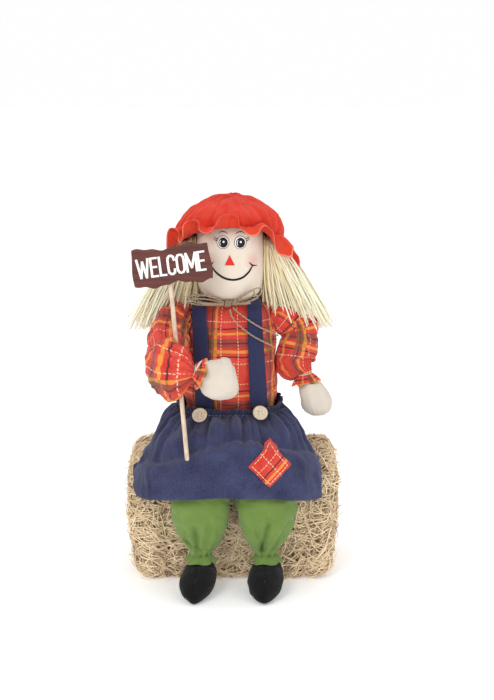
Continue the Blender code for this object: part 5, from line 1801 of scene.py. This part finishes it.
def add_sign():
    centre, across, up, out = board_frame()
    # a thin sawn board: wavy long edges and slightly ragged ends
    rows, columns = 13, 90
    share = np.linspace(-0.5, 0.5, columns)
    low = -20.0 + 1.9 * np.sin(share * 11 + 1.0) + 0.8 * np.sin(share * 31)
    high = 21.0 + 1.9 * np.sin(share * 10 - 0.6) + 0.8 * np.sin(share * 27 + 1)
    v = low[None] + (high - low)[None] * np.linspace(0, 1, rows)[:, None]
    end = 43.0 + 0.9 * np.sin(np.linspace(0, 1, rows) * 5 + 0.5) + 0.9 * np.sin(np.linspace(0, 1,
                                                                                            rows) * math.pi)
    u = share[None] * 2 * end[:, None]
    faces = grid_faces(rows, columns, wrap_columns=False)
    flat = centre + across * u[..., None] + up * v[..., None]
    obj = piece("sign_plank", flat, faces, STAINED, "sign", stands_for=("sign_board",))
    thicken(obj, 2.6)
    bevel = obj.modifiers.new("edge", "BEVEL")
    bevel.width, bevel.segments = 0.4 * MM, 2
    scale, gap, stroke = 2.0, 2.0, 2.65
    word = "WELCOME"
    widths = [LETTERS[c][0] * scale for c in word]
    total = sum(widths) + gap * scale * (len(word) - 1) * 1.05
    squeeze = 76.0 / total
    start = -38.0
    points, faces = [], []
    for c, width in zip(word, widths):
        for line in LETTERS[c][1]:
            line = np.array(line, float)
            place = np.stack([start + line[:, 0] * scale * squeeze, -9.6 + line[:, 1] * scale + 0.5],
                             axis=1)
            for a, b in zip(place, place[1:]):
                way = (b - a) / np.linalg.norm(b - a)
                thick = stroke * (1.0 if abs(way[1]) > 0.5 else 0.85)
                side = np.array([-way[1], way[0]]) * thick / 2
                grow = way * thick * 0.36
                corners = [a - grow - side, a - grow + side, b + grow + side, b + grow - side]
                n = len(points)
                raised = 1.75 + 0.0016 * n / 2
                for lift in (1.2, raised):
                    for p in corners:
                        points.append(centre + across * p[0] + up * p[1] + out * lift)
                faces += [(n, n + 1, n + 2, n + 3), (n + 7, n + 6, n + 5, n + 4)]
                faces += [(n + i, n + 4 + i, n + 4 + (i + 1) % 4, n + (i + 1) % 4) for i in range(4)]
        start += (width + gap * scale) * squeeze
    made = piece("sign_letters", points, faces, WHITE_PAINT, "sign")
    made.data.shade_flat()
    stations = [(*STICK_LOW, 2.5, 2.5), (*(STICK_LOW + (STICK_HIGH - STICK_LOW) * 0.5), 2.5, 2.5),
                (*STICK_HIGH, 2.5, 2.5)]
    stick, _, _, _ = tube(stations, (0, 1, 0), 40, 28)
    obj = piece("sign_dowel", stick, grid_faces(40, 28, caps=True), PINE, "sign",
                stands_for=("sign_stick",))
    obj.data.set_sharp_from_angle(angle=math.radians(50))
    bead = centre - out * 3.4 + across * 3.0
    stations = [(*(bead + up * t * 14), r, r) for t,
                r in ((-1, 0.6), (-0.9, 1.5), (-0.4, 1.8), (0.1, 1.4), (0.6, 1.8), (0.93, 1.4), (1, 0.5))]
    glue, _, _, _ = tube(stations, (0, 1, 0), 26, 18)
    piece("glue_bead", glue, grid_faces(26, 18, caps=True), GLUE, "sign",
          stands_for=("sign_glue_bead",))


add_camera()
add_studio()
add_bow()
add_bale()
add_torso()
add_seat()
skirt_object = add_skirt()
band_object = add_waistband()
add_straps()
add_buttons(skirt_object, band_object)
add_patch(skirt_object)
add_head()
add_face()
add_hat()
add_ruffle()
add_hair()
add_arms()
add_legs()
add_sign()
